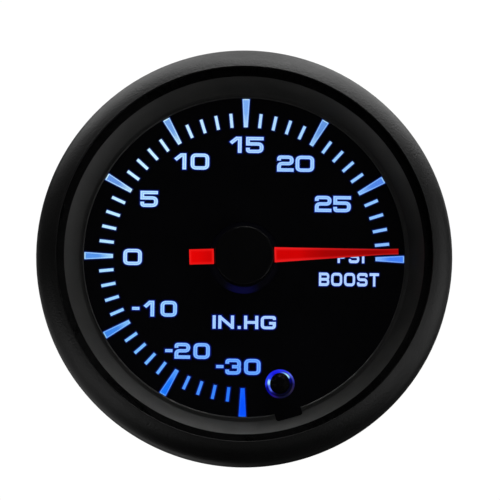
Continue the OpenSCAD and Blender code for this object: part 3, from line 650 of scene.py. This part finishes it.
# Each text: letters, centre on the dial, gaps between its letters, style
NUMERALS = [
    ("15", (0.1, 16.37), [0.66], NUMERAL),
    ("10", (-7.79, 13.86), [0.66], NUMERAL),
    ("5", (-13.82, 8.34), [], NUMERAL),
    ("0", (-16.1, -0.12), [], NUMERAL),
    ("-10", (-12.83, -7.57), [0.55, 0.93], TIGHT),
    ("-20", (-8.0, -13.63), [0.32, 0.5], TIGHT),
    ("-30", (-0.65, -15.84), [0.29, 0.48], TIGHT),
    ("20", (7.26, 13.72), [0.3], NUMERAL),
    ("25", (12.7, 7.92), [0.3], NUMERAL),
]
WORDS = [
    ("IN.HG", (0.1, -9.4), [0.36, 0.56, 0.49, 0.38], WIDE),
    ("BOOST", (15.13, -3.02), [0.3, 0.3, 0.32, 0.32], NARROW),
    ("PSI", (15.41, 0.34), [0.39, 0.4], NARROW),
]


def write(build, text, centre, gaps, style, low, high, thin, grow):
    """Draws a text as strokes. thin narrows each stroke, grow widens it by a margin all round."""
    widths, height, stretch = style["widths"], style["height"], style["stretch"]
    x = centre[0] - (sum(widths[c] for c in text) + sum(gaps)) / 2
    y = centre[1] - height / 2
    for c, gap in zip(text, gaps + [0]):
        heavy = style["weight"] * (0.9 if c == "-" else 1.0)
        span = widths[c] / stretch - heavy, height - heavy
        half = heavy / 2 * thin + grow
        for number, (points, ends) in enumerate(LETTERS[c]):
            closed = ends is None
            path = [
                (heavy / 2 + u * span[0], heavy / 2 + v * span[1], r * style["corner"])
                for u, v, r in points
            ]
            path = rounded(path, closed)
            if not closed:
                for end, other, runs in ((0, 1, ends[0]), (-1, -2, ends[1])):
                    way = (path[end] - path[other]).normalized()
                    path[end] = path[end] + way * ((heavy / 2 if runs else 0) + half - heavy / 2)
            stroke(
                build,
                path,
                closed,
                half,
                low,
                high + 0.001 * number,
                lambda p, z, x=x: (x + p.x * stretch, y + p.y, z),
            )
        x += widths[c] + gap


# How deep print and light reach into what they stand on
PRINT_SUNK = 0.01
SUNK = 0.02

# Layers of the print, from the wide dim one up to the narrow one in the middle of each stroke
for name, texts, edge, core in (
    ("dial_numerals", NUMERALS, numeral_edge, numeral_core),
    ("dial_words", WORDS, word_edge, word_core),
):
    for part, high, thin, grow, material in (
        ("_halo", 0.006, 1.0, 0.2, mark_halo),
        ("_fringe", 0.011, 1.0, 0.05, print_fringe),
        ("", 0.016, 1.0, 0.0, edge),
        ("_core", 0.021, 0.36, 0.0, core),
    ):
        layer = Build()
        for text, centre, gaps, style in texts:
            write(layer, text, centre, gaps, style, Z_DIAL - PRINT_SUNK, Z_DIAL + high, thin, grow)
        layer.piece(name + part, "case", "dial_light", material)


# Light in every window, fills of the main marks, and the faint light on the print round windows
lights, fills, halos = Build(), Build(), Build()
for i in range(MARKS):
    is_main = i % MAIN_EVERY == 0
    narrow, wide = MAIN_HALF if is_main else (SMALL_HALF, SMALL_HALF)
    outer = MARK_OUTER if is_main else SMALL_OUTER

    def grown(inner_end, outer_end, sides):
        """The window's outline, moved out at its ends and its sides, in its place on the dial."""
        x0, x1 = MARK_INNER - inner_end, outer + outer_end
        y0, y1 = narrow + sides, wide + sides
        return turned([(x0, -y0), (x1, -y1), (x1, y1), (x0, y0)], i * MARK_STEP)

    if is_main:
        slab(fills, grown(-0.2, -0.16, -0.15), Z_PLATE - SUNK, Z_PLATE + 0.03)
    slab(lights, grown(0.02, 0.02, 0.02), Z_PLATE - SUNK, Z_PLATE + 0.012)
    frame_slab(halos, grown(0.17, 0.1, 0.17), grown(0, 0, 0), Z_DIAL - PRINT_SUNK, Z_DIAL + 0.005)
lights.piece("mark_lights", "case", "dial_light", mark_edge)
fills.piece("main_mark_fills", "case", "dial_light", mark_fill)
halos.piece("mark_halos", "case", "dial_light", mark_halo)


# ---- Light round the stop peg and in the hub's hole


# Steps round a ring of light, and round its section
RING_STEPS, SECTION_STEPS = 96, 14


def band(build, centre, radius, half_wide, half_high, z):
    """A ring of oval section, with its middle at a level."""
    rows = []
    for i in range(RING_STEPS + 1):
        a = TURN * i / RING_STEPS
        row = []
        for j in range(SECTION_STEPS):
            b = TURN * j / SECTION_STEPS
            r, up = radius + half_wide * math.cos(b), half_high * math.sin(b)
            row.append((centre[0] + r * math.cos(a), centre[1] + r * math.sin(a), z + up))
        rows.append(row)
    build.grid(rows, caps=False)


peg_x, peg_y = polar(PEG_R, PEG_ANGLE)
# Radius of each ring of light, and the level of its middle
PEG_RING_R, PEG_RING_Z = 1.78, 4.98
HUB_RING_R, HUB_RING_Z = 4.72, 4.72


def peg_glow(n, mm):
    """Two rings of blue light round the peg that meet at the upper left, with two painted
    highlights as bright spots.
    """
    here = n.node("ShaderNodeSeparateXYZ", {0: mm})
    dx = n.math("SUBTRACT", here.outputs[0], peg_x)
    dz = n.math("SUBTRACT", here.outputs[2], peg_y)
    turn = n.turn_share(dx, dz)
    # The brightest stops of these ramps, near 0.12 to 0.17 and 0.47 to 0.5 of a turn, are painted
    # highlights.
    outer = n.ramp(
        turn,
        coloured(
            [
                (0.0, 30, 26, 92),
                (0.07, 60, 66, 185),
                (0.12, 92, 112, 250),
                (0.17, 52, 62, 240),
                (0.24, 30, 44, 235),
                (0.34, 30, 30, 226),
                (0.43, 36, 60, 238),
                (0.5, 40, 60, 235),
                (0.55, 4, 4, 130),
                (0.62, 2, 4, 140),
                (0.68, 34, 20, 110),
                (0.75, 14, 14, 44),
                (0.84, 12, 14, 40),
                (0.93, 38, 30, 60),
                (0.99, 30, 26, 88),
            ]
        ),
    )
    inner = n.ramp(
        turn,
        coloured(
            [
                (0.0, 4, 4, 40),
                (0.08, 2, 4, 130),
                (0.1, 120, 180, 255),
                (0.13, 190, 244, 255),
                (0.17, 150, 214, 255),
                (0.21, 96, 130, 250),
                (0.25, 24, 36, 225),
                (0.34, 20, 20, 205),
                (0.43, 40, 66, 240),
                (0.465, 170, 226, 255),
                (0.5, 160, 220, 255),
                (0.53, 72, 100, 246),
                (0.6, 84, 104, 238),
                (0.64, 20, 16, 120),
                (0.7, 6, 6, 30),
                (0.99, 4, 4, 30),
            ]
        ),
    )
    radius = n.length(dx, dz)
    apart = n.math("ABSOLUTE", n.math("SUBTRACT", radius, PEG_RING_R))
    outward = n.spread(radius, PEG_RING_R - 0.06, PEG_RING_R + 0.06, 0.0, 1.0, smooth=True)
    both = n.mix(outward, inner, outer)
    # How bright the line between the two rings is
    shares = [(0.0, 0.35), (0.2, 0.4), (0.26, 1), (0.48, 1), (0.53, 0.35), (0.99, 0.4)]
    split = n.ramp(turn, [(at, (bright, bright, bright, 1)) for at, bright in shares])
    valley = n.mix(n.spread(apart, 0.03, 0.14, 0.0, 1.0, smooth=True), split, (1, 1, 1, 1))
    return n.mix(1.0, both, valley, "MULTIPLY")


ring = Build()
band(ring, (peg_x, peg_y), PEG_RING_R, half_wide=0.34, half_high=0.42, z=PEG_RING_Z)
peg_light = lit("peg_light", peg_glow, GLOW, rough=0.2)
ring.piece("peg_light_ring", "case", "dial_light", peg_light, smooth=60)


def hub_glow(n, mm):
    """Dim navy light under the hub cap, only at the bottom of the hole."""
    lowest = (-0.3, -4.7, -4.7)
    down = n.node("ShaderNodeVectorMath", {0: mm, 1: lowest}, operation="DISTANCE")
    near = n.spread(down.outputs["Value"], 0.6, 2.9, 1.0, 0.0, smooth=True)
    return n.mix(near, linear(1, 1, 3), linear(6, 6, 44))


hub = Build()
band(hub, (0, 0), HUB_RING_R, half_wide=0.48, half_high=0.16, z=HUB_RING_Z)
hub_light = lit("hub_light", hub_glow, GLOW)
hub.piece("hub_light_ring", "case", "dial_light", hub_light, smooth=60)

# ---- Finishes of the case and the dial

bezel_black = surface(
    "bezel_black",
    (0.012, 0.012, 0.012),
    rough=0.4,
    grain=(0.3, 0.6),
    mottle=(6, 0.2),
    smudge=0.03,
    edge=0.12,
)
trim_black = surface(
    "trim_black",
    (0.115, 0.115, 0.109),
    rough=0.5,
    grain=(0.3, 0.12),
    mottle=(3, 0.2),
    smudge=0.05,
    edge=0.1,
    specular=1.0,
    ior=1.9,
)
rubber = surface(
    "black_rubber", (0.008, 0.008, 0.008), rough=0.85, grain=(0.08, 0.3), mottle=(1.5, 0.25)
)
housing_black = surface(
    "housing_black",
    (0.014, 0.014, 0.015),
    rough=0.42,
    grain=(0.5, 0.35),
    mottle=(5, 0.2),
    smudge=0.08,
    edge=0.15,
)
cap_black = surface(
    "cap_black",
    (0.004, 0.004, 0.005),
    rough=0.42,
    grain=(0.1, 0.12),
    edge=0.12,
    specular=0.4,
)
peg_black = surface("peg_black", (0.006, 0.006, 0.008), rough=0.22, grain=(0.2, 0.05), edge=0.12)
mask_black = surface(
    "dial_print",
    (0.0025, 0.0025, 0.006),
    rough=0.62,
    grain=(0.07, 0.2),
    mottle=(2, 0.25),
    edge=0.02,
    specular=0.2,
)


def smoked_glass():
    """A faintly tinted clear cover: most of what lies behind is seen through it."""
    n = Nodes("smoked_lens")
    mm = n.millimetres()
    patch = n.spread(n.noise(mm, 9.0, 2.0), 0.3, 0.7, 0.0, 1.0)
    tint = n.mix(patch, linear(22, 22, 26), linear(30, 30, 34))
    wave = n.noise(mm, 7.0, 1.0)
    bump = n.node("ShaderNodeBump", {"Strength": 0.02, "Distance": 0.1 * MM, "Height": wave})
    return n.principled(
        Base_Color=tint, Roughness=0.04, IOR=1.49, Alpha=LENS_ALPHA, Normal=bump.outputs[0]
    )


# Radius within which the pointer gives no light: the cap covers most of it, and a thin dark band is
# left just past the cap's edge
CAP_EDGE = 4.37
# Colours of the pointer's middle and edges: distance from the axis, red, green, blue
POINTER_CORE = [
    (-POINTER_TAIL, 242, 0, 0),
    (-6.6, 236, 0, 0),
    (-5.2, 219, 0, 0),
    (4.5, 216, 0, 0),
    (7.8, 218, 0, 0),
    (9.5, 194, 0, 0),
    (11.7, 172, 0, 0),
    (16.0, 162, 0, 0),
    (18.2, 153, 0, 0),
    (19.6, 156, 0, 0),
    (21.6, 176, 0, 0),
]
POINTER_RIM = [
    (-POINTER_TAIL, 254, 26, 24),
    (7.8, 248, 30, 32),
    (12.0, 222, 22, 26),
    (21.6, 196, 26, 26),
]


def pointer_red(n, mm):
    """Red light in the blade: deeper along its middle, brighter along its edges and at the hub."""
    a = math.radians(POINTER_ANGLE)

    def dot(x, z):
        product = n.node("ShaderNodeVectorMath", {0: mm, 1: (x, 0, z)}, operation="DOT_PRODUCT")
        return product.outputs["Value"]

    along = dot(math.cos(a), math.sin(a))
    across = n.math("ABSOLUTE", dot(-math.sin(a), math.cos(a)))
    from_axis = n.math("ABSOLUTE", along)
    # Half the blade's width narrows from 1.3 at the axis to 0.4 near the tip
    half = n.spread(along, 0.0, 19.9, 1.3, 0.4)
    edge = n.spread(n.math("DIVIDE", across, half), 0.45, 0.92, 0.0, 1.0, smooth=True)
    hub_end = n.spread(from_axis, CAP_EDGE + 0.08, CAP_EDGE + 0.43, 1.0, 0.0, smooth=True)
    tail_end = n.spread(along, 0.1 - POINTER_TAIL, 0.4 - POINTER_TAIL, 1.0, 0.0, smooth=True)
    edge = n.math("MAXIMUM", edge, n.math("MAXIMUM", hub_end, tail_end))
    share = n.spread(along, -POINTER_TAIL, POINTER_TIP, 0.0, 1.0)

    core = n.ramp(share, coloured(POINTER_CORE, -POINTER_TAIL, POINTER_TIP))
    rim = n.ramp(share, coloured(POINTER_RIM, -POINTER_TAIL, POINTER_TIP))
    clear = n.math("GREATER_THAN", from_axis, CAP_EDGE)
    return n.mix(1.0, n.mix(edge, core, rim), n.math("MULTIPLY", clear, n.front()), "MULTIPLY")


def board_green():
    """Green varnish with round copper tracks and tinned holes."""
    n = Nodes("board_green")
    mm = n.millimetres()
    xyz = n.node("ShaderNodeSeparateXYZ", {0: mm})
    flat = n.node("ShaderNodeCombineXYZ", {0: xyz.outputs[0], 1: xyz.outputs[2]})
    from_track = n.math("SUBTRACT", n.math("PINGPONG", n.dial_radius(mm), 1.5), 0.7)
    track = n.math("LESS_THAN", n.math("ABSOLUTE", from_track), 0.22)
    cells = n.node("ShaderNodeTexVoronoi", {"Vector": flat, "Scale": 0.45})
    hole = n.math("LESS_THAN", cells.outputs["Distance"], 0.12)
    green = n.mix(track, (0.012, 0.07, 0.025, 1), (0.03, 0.16, 0.05, 1))
    colour = n.mix(hole, green, (0.7, 0.68, 0.62, 1))
    bump = n.node("ShaderNodeBump", {"Strength": 0.4, "Distance": 0.05 * MM, "Height": track})
    return n.principled(Base_Color=colour, Roughness=0.35, Metallic=hole, Normal=bump.outputs[0])


TURNED_BRASS = (0.74, 0.53, 0.22)
brass = surface(
    "brass_sheet",
    (0.72, 0.5, 0.2),
    rough=0.32,
    metallic=1.0,
    grain=(0.15, 0.12),
    mottle=(3, 0.1),
    brushed=(0.08, 1, 1),
)
brass_turned = surface(
    "brass_turned",
    TURNED_BRASS,
    rough=0.27,
    metallic=1.0,
    grain=(0.1, 0.15),
    lathe=(0, 0),
    edge=0.08,
)
socket_brass = surface(
    "socket_brass",
    (0.7, 0.5, 0.21),
    rough=0.3,
    metallic=1.0,
    grain=(0.12, 0.15),
    lathe=(0, 0),
    edge=0.1,
    thread=(0.9, 28.5),
)
bronze = surface(
    "tube_bronze",
    (0.62, 0.38, 0.16),
    rough=0.25,
    metallic=1.0,
    grain=(0.12, 0.12),
    mottle=(2, 0.18),
    brushed=(1, 0.1, 1),
)
steel = surface(
    "steel",
    (0.56, 0.56, 0.58),
    rough=0.25,
    metallic=1.0,
    grain=(0.1, 0.12),
    mottle=(1.5, 0.08),
    edge=0.04,
)
spring_blue = surface(
    "spring_steel",
    (0.16, 0.2, 0.36),
    rough=0.28,
    metallic=1.0,
    grain=(0.08, 0.1),
    mottle=(0.8, 0.3),
    edge=0.02,
)
zinc = surface(
    "zinc",
    (0.62, 0.64, 0.68),
    rough=0.3,
    metallic=1.0,
    grain=(0.2, 0.18),
    mottle=(2.2, 0.1),
    smudge=0.1,
    edge=0.12,
)
zinc_strip = surface(
    "zinc_strip",
    (0.6, 0.62, 0.66),
    rough=0.32,
    metallic=1.0,
    grain=(0.18, 0.2),
    mottle=(3.5, 0.12),
    smudge=0.1,
    brushed=(0.08, 0.08, 1),
    edge=0.2,
)

guide_blue = surface(
    "light_guide", (0.02, 0.03, 0.08), rough=0.15, grain=(0.3, 0.05), mottle=(3, 0.2)
)
lamp_white = lit(
    "lamp_white", lambda n, mm: linear(150, 190, 255), 0.6, base=(0.7, 0.75, 0.8, 1), rough=0.2
)
# Strengths of the light of the pointer and of the plate, whose windows have pieces of their own
POINTER_GLOW = 1.17
PLATE_GLOW = 0.08

FINISHES = {
    "bezel": bezel_black,
    "lens": smoked_glass(),
    "lens_gasket": rubber,
    "housing_seal": rubber,
    "wire_grommet": rubber,
    "trim_ring": trim_black,
    "dial_mask": mask_black,
    "dial_plate": lit("dial_plate", lit_plate, PLATE_GLOW),
    "light_guide": guide_blue,
    "lamp_board": board_green(),
    "lamps": lamp_white,
    "stop_peg": peg_black,
    "pointer": lit(
        "pointer_red", pointer_red, POINTER_GLOW, base=(0.02, 0, 0, 1), rough=0.4, speckle=0.02
    ),
    "hub_cap": cap_black,
    "pointer_arbor": steel,
    "hairspring": spring_blue,
    "hairspring_collet": brass_turned,
    "hairspring_stud": brass_turned,
    "front_plate": brass,
    "back_plate": brass,
    "plate_pillars": brass,
    "plate_screws": steel,
    "socket_screws": steel,
    "sector_gear": brass,
    "sector_arbor": steel,
    "sector_tail_pin": steel,
    "link_rod": steel,
    "tip_pivot_pin": steel,
    "tube_tip_block": brass,
    "bourdon_tube": bronze,
    "socket_block": socket_brass,
    "fitting_washer": zinc,
    "fitting_nut": brass_turned,
    "hose_nipple": brass_turned,
    "housing": housing_black,
    "mounting_studs": zinc,
    "clamp_bracket": zinc_strip,
    "lock_washers": zinc,
    "left_thumb_nut": brass_turned,
    "right_thumb_nut": brass_turned,
}
for name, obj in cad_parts.items():
    obj.data.materials.clear()
    obj.data.materials.append(FINISHES[name])

# ---- Threads, nuts and the nipple


def circled(x, radius, share, z):
    """A point round an axis at (x, 0), at a share of a turn."""
    return x + radius * math.cos(TURN * share), radius * math.sin(TURN * share), z


def skin(x, levels, radius, steps):
    """Rows of a skin round an axis at (x, 0): radius is a function of (turn share, level)."""
    shares = [i / steps for i in range(steps)]
    return [[circled(x, radius(share, z), share, z) for share in shares] for z in levels]


def spaced(low, high, step):
    """Levels from low to high, as near to a step apart as divides the length."""
    count = max(1, round((high - low) / step))
    return [low + (high - low) * i / count for i in range(count + 1)]


# A thread's profile: how steep its flanks are, and how much of the rise its root cuts off
FLANK_SLOPE, ROOT_CUT = 1.9, 0.45


def ramped(share):
    """A thread's profile over one pitch: flat root, flank, flat crest, flank."""
    share %= 1.0
    return min(1.0, max(0.0, FLANK_SLOPE * (1 - abs(2 * share - 1)) - ROOT_CUT))


def thread_radius(major, depth, pitch, low, high, chamfer):
    """Radius of an outer thread that starts with a chamfer at low and runs out at high."""

    def radius(turn, z):
        r = major - depth * (1 - ramped((z / pitch) - turn))
        r = min(r, major - chamfer + (z - low)) if chamfer else r
        return min(r, major - depth + max(0.0, (high - z)) * 2)

    return radius


# The studs: thread from STUD_LOW to SHANK_LOW, plain shank to FLANGE_LOW, flange on the case's back
STUD_X = 16
STUD_R = 1.95
STUD_PITCH = 0.7
STUD_LOW, SHANK_LOW, FLANGE_LOW, FLANGE_EDGE, FLANGE_HIGH = -50, -30.6, -28.5, -27.75, -27.5
FLANGE_R, FLANGE_END_R = 3.5, 3.25
studs = Build()
for side in (-STUD_X, STUD_X):
    stud_thread = thread_radius(
        STUD_R, depth=0.34, pitch=STUD_PITCH, low=STUD_LOW, high=SHANK_LOW, chamfer=0.5
    )
    studs.grid(skin(side, spaced(STUD_LOW, SHANK_LOW, STUD_PITCH / 8), stud_thread, steps=28))
    studs.grid(skin(side, [SHANK_LOW, FLANGE_LOW], lambda t, z: STUD_R, steps=28))
    flange = [[FLANGE_LOW, FLANGE_R], [FLANGE_EDGE, FLANGE_R], [FLANGE_HIGH, FLANGE_END_R]]
    studs.grid([[circled(side, r, i / 48, z) for i in range(48)] for z, r in flange])
stud_piece = studs.piece("mounting_studs_threaded", "case", "zinc", zinc, smooth=30)
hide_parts("mounting_studs")


# Radius of a hexagon's end faces, as a share of its width across flats
HEX_END = 0.49


def hexagon_radius(across, low, high):
    """A hexagon whose corners are chamfered at both ends."""

    def radius(turn, z):
        a = (turn * 6 % 1.0 - 0.5) * TURN / 6
        r = across / 2 / math.cos(a)
        end = min(z - low, high - z)
        return min(r, across * HEX_END + end * 1.75)

    return radius


def hex_levels(low, high):
    """Levels that lie close together at both ends, where a hexagon's chamfers curve."""
    steps = [0.12 * i for i in range(1, 6)]
    return [low, *(low + d for d in steps), *(high - d for d in reversed(steps)), high]


def holed(build, x, outer, bore, levels, steps, chamfer):
    """A ring round an axis at (x, 0): outer skin, end faces, and a bore with chamfered mouths."""
    low, high = levels[0], levels[-1]
    mouth = bore + chamfer
    inner = [(mouth, high), (bore, high - chamfer), (bore, low + chamfer), (mouth, low)]
    rows = skin(x, levels, outer, steps)
    rows += [[circled(x, r, i / steps, z) for i in range(steps)] for r, z in inner]
    build.grid([*rows, rows[0]], caps=False)


# Ends of the stub's nut and its width across flats
NUT_LOW, NUT_HIGH, NUT_ACROSS = -35, -31, 14
nut = Build()
nut_outside = hexagon_radius(NUT_ACROSS, NUT_LOW, NUT_HIGH)
nut_levels = hex_levels(NUT_LOW, NUT_HIGH)
holed(nut, 0, nut_outside, bore=4.9, levels=nut_levels, steps=96, chamfer=0.25)
nut_piece = nut.piece("fitting_nut_chamfered", "case", "brass", brass_turned, smooth=30)
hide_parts("fitting_nut")

# The nipple: barbs for the hose from its end to HEX_LOW, hexagon to HEX_HIGH, thread in the socket
NIPPLE_LOW, HEX_LOW, HEX_HIGH, THREAD_HIGH = -48.0, -39, -36, -31.55
BARB_PITCH = 3
nipple = Build()
nipple_hexagon = hexagon_radius(8, HEX_LOW, HEX_HIGH)
nipple.grid(skin(0, hex_levels(HEX_LOW, HEX_HIGH), nipple_hexagon, steps=96))
# Outside and bore of the barbed end, as (radius, level)
section = []
for barb in range(3):
    top = HEX_LOW - BARB_PITCH * barb
    section += [
        (1.95, top),
        (1.95, top - 0.68),
        (2.03, top - 0.75),
        (2.42, top - 0.75),
        (2.5, top - 0.83),
        (2.5, top - 1.3),
        (2.45, top - 1.4),
    ]
section += [(1.95, NIPPLE_LOW + 0.2), (1.8, NIPPLE_LOW), (1.12, NIPPLE_LOW)]
section += [(1.0, NIPPLE_LOW + 0.15), (1.0, HEX_LOW - 1)]
nipple.grid([[circled(0, r, i / 64, z) for i in range(64)] for r, z in section], caps=False)
nipple_thread = thread_radius(
    2.2, depth=0.3, pitch=0.8, low=HEX_HIGH, high=THREAD_HIGH, chamfer=0
)
nipple.grid(skin(0, spaced(HEX_HIGH, THREAD_HIGH, 0.11), nipple_thread, steps=40))
nipple_piece = nipple.piece("hose_nipple_turned", "case", "brass", brass_turned, smooth=30)
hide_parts("hose_nipple")


# Levels of a thumb nut: end of the collar, where its chamfer starts, where the knurl starts, front
THUMB_LOW, COLLAR_CUT, KNURL_LOW, THUMB_HIGH = -40.8, -40.5, -39.3, -34.8
COLLAR_R = 3.6
# The knurl: number of its teeth, radius under them, their height
KNURLS = 36
KNURL_R = 4.62
TOOTH_HEIGHT = 0.38


def knurled(turn, z):
    """A straight knurl between a plain collar and a chamfered front."""
    if z < KNURL_LOW + 1e-6:
        return COLLAR_R - max(0.0, COLLAR_CUT - z)
    tooth = abs((turn * KNURLS % 1.0) * 2 - 1)
    front = min(1.0, (THUMB_HIGH - z) / 0.35)
    rear = min(1.0, (z - KNURL_LOW) / 0.25)
    return KNURL_R + TOOTH_HEIGHT * min(front, rear) * (1 - 0.85 * tooth)


for name, side in (("left", -STUD_X), ("right", STUD_X)):
    thumb = Build()
    levels = [THUMB_LOW, COLLAR_CUT, KNURL_LOW - 0.01, KNURL_LOW + 2e-6]
    levels += [-39.05, -38.2, -37.0, -35.8, -35.15, -34.95, THUMB_HIGH]
    holed(thumb, side, knurled, bore=2.0, levels=levels, steps=6 * KNURLS, chamfer=0.3)
    finish = surface(
        f"brass_{name}_nut",
        TURNED_BRASS,
        rough=0.27,
        metallic=1.0,
        grain=(0.1, 0.15),
        lathe=(side, 0),
        edge=0.05,
    )
    piece = thumb.piece(f"{name}_thumb_nut_knurled", f"{name}_nut", "brass", finish, smooth=25)
    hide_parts(f"{name}_thumb_nut")

# ---- Small parts of the lamp board, between the lamps


def chip(build, x, y, angle, size, z):
    """A small block with bevelled edges."""
    wide, deep, high = size
    cut = 0.08
    rows = []
    for inset, level in ((cut, z), (0, z + cut), (0, z + high - cut), (cut, z + high)):
        w, d = wide / 2 - inset, deep / 2 - inset
        corners = turned([(-w, -d), (w, -d), (w, d), (-w, d)], angle)
        rows.append([(x + u, y + v, level) for u, v in corners])
    build.grid(rows)


# Eight resistors across the radius, each with solder at both ends, on the board's front
BOARD_FRONT = 2.2
chips, solder = Build(), Build()
for i in range(8):
    angle = i * 45
    x, y = polar(17, angle)
    chip(chips, x, y, angle + 90, (1.3, 0.85, 0.45), BOARD_FRONT)
    for end in (-0.82, 0.82):
        ex, ey = polar(end, angle + 90)
        chip(solder, x + ex, y + ey, angle + 90, (0.4, 0.9, 0.4), BOARD_FRONT)
chip_black = surface("chip_black", (0.02, 0.02, 0.02), rough=0.4, grain=(0.1, 0.1))
chips.piece("board_resistors", "case", "peg_black", chip_black)
solder.piece("board_solder", "case", "steel", steel)

# ---- Studio

LAMP_SIZE = 0.4
LAMP_DISTANCE = 0.6


def light(name, around, off_axis, power):
    """A square soft box. around is counter-clockwise from the right, off_axis from the front."""
    a, b = math.radians(around), math.radians(off_axis)
    way = Vector((math.sin(b) * math.cos(a), -math.cos(b), math.sin(b) * math.sin(a)))
    lamp = bpy.data.lights.new(name, "AREA")
    lamp.shape = "SQUARE"
    lamp.size = LAMP_SIZE
    lamp.energy = power
    obj = bpy.data.objects.new(name, lamp)
    scene.collection.objects.link(obj)
    obj.location = way * LAMP_DISTANCE
    obj.rotation_mode = "QUATERNION"
    obj.rotation_quaternion = way.to_track_quat("Z", "Y")


# Name, angle round the axis, angle off the axis, and power in watts
LIGHTS = [
    ("front_right", 330, 40, 0.13),
    ("front_top", 60, 55, 0.1),
    ("front_bottom", 270, 55, 0.06),
    ("side_lower_right", 330, 70, 0.3),
    ("side_lower_left", 225, 70, 0.22),
    ("side_top", 84, 80, 0.56),
    ("edge_right", 0, 92, 0.22),
    ("edge_upper_right", 60, 90, 0.64),
    ("edge_top", 90, 90, 0.75),
    ("edge_upper_left", 120, 100, 0.5),
    ("edge_lower_left", 210, 90, 0.2),
    ("back_right", 345, 112, 0.16),
    ("back_upper_right", 55, 112, 0.2),
    ("back_top_right", 60, 125, 0.42),
    ("back_top", 90, 125, 0.22),
    ("back_top_left", 120, 125, 0.43),
    ("back_lower_left", 210, 125, 0.06),
    ("behind_upper", 60, 158, 0.2),
    ("behind_lower", 200, 158, 0.08),
]
for row in LIGHTS:
    light(*row)

# White where the camera looks past the gauge, nearly dark as a light
world = Nodes("studio", world=True)
scene.world = world.owner
rays = world.node("ShaderNodeLightPath")
sky = world.node("ShaderNodeBackground", {"Color": (1, 1, 1, 1), "Strength": 1.03})
room = world.node("ShaderNodeBackground", {"Color": (1, 1, 1, 1), "Strength": 0.012})
both = world.node("ShaderNodeMixShader", {0: rays.outputs["Is Camera Ray"], 1: room, 2: sky})
world.node("ShaderNodeOutputWorld", {"Surface": both})

FLOOR_HALF = 4
FLOOR_LEVEL = -0.32
floor_mesh = bpy.data.meshes.new("floor")
signs = ((-1, -1), (1, -1), (1, 1), (-1, 1))
corners = [(x * FLOOR_HALF, y * FLOOR_HALF, FLOOR_LEVEL) for x, y in signs]
floor_mesh.from_pydata(corners, [], [(0, 1, 2, 3)])
floor = bpy.data.objects.new("floor", floor_mesh)
scene.collection.objects.link(floor)
# The floor has a light of its own, because the lights round the gauge are weak
pale = surface(
    "floor_pale", (0.8, 0.8, 0.8), rough=0.9, grain=(5, 0.02), mottle=(200, 0.01), glow=0.62
)
floor.data.materials.append(pale)
floor.visible_glossy = False
floor.visible_diffuse = False

# ---- Camera, at the photograph's angle: 6.5 degrees below the axis, far away, rolled 0.7 degrees

ELEVATION, ROLL = math.radians(-6.5), math.radians(0.7)
# One pixel of the picture in millimetres, half its width, and how far its middle is from the axis
PIXEL = 0.1444
HALF_PICTURE = 250
SHIFT_RIGHT, SHIFT_UP = 5.69, 8.89
# Level of the point that the camera looks at
LOOK_Z = 3.7
camera = bpy.data.cameras.new("camera")
camera.lens = 600
camera.sensor_width = 36
view = bpy.data.objects.new("camera", camera)
scene.collection.objects.link(view)
scene.camera = view
distance = HALF_PICTURE * PIXEL / (camera.sensor_width / 2 / camera.lens)
back = Vector((0, -math.cos(ELEVATION), math.sin(ELEVATION)))
turn = (-back).to_track_quat("-Z", "Y")
right, up = turn @ Vector((1, 0, 0)), turn @ Vector((0, 1, 0))
target = place(0, 0, LOOK_Z) + (right * SHIFT_RIGHT + up * SHIFT_UP) * PIXEL * MM
view.rotation_mode = "QUATERNION"
view.rotation_quaternion = turn @ Quaternion((0, 0, 1), ROLL)
view.location = target + back * distance * MM
camera.clip_start, camera.clip_end = 0.1, 20

scene.view_settings.view_transform = "Standard"
scene.view_settings.look = "None"
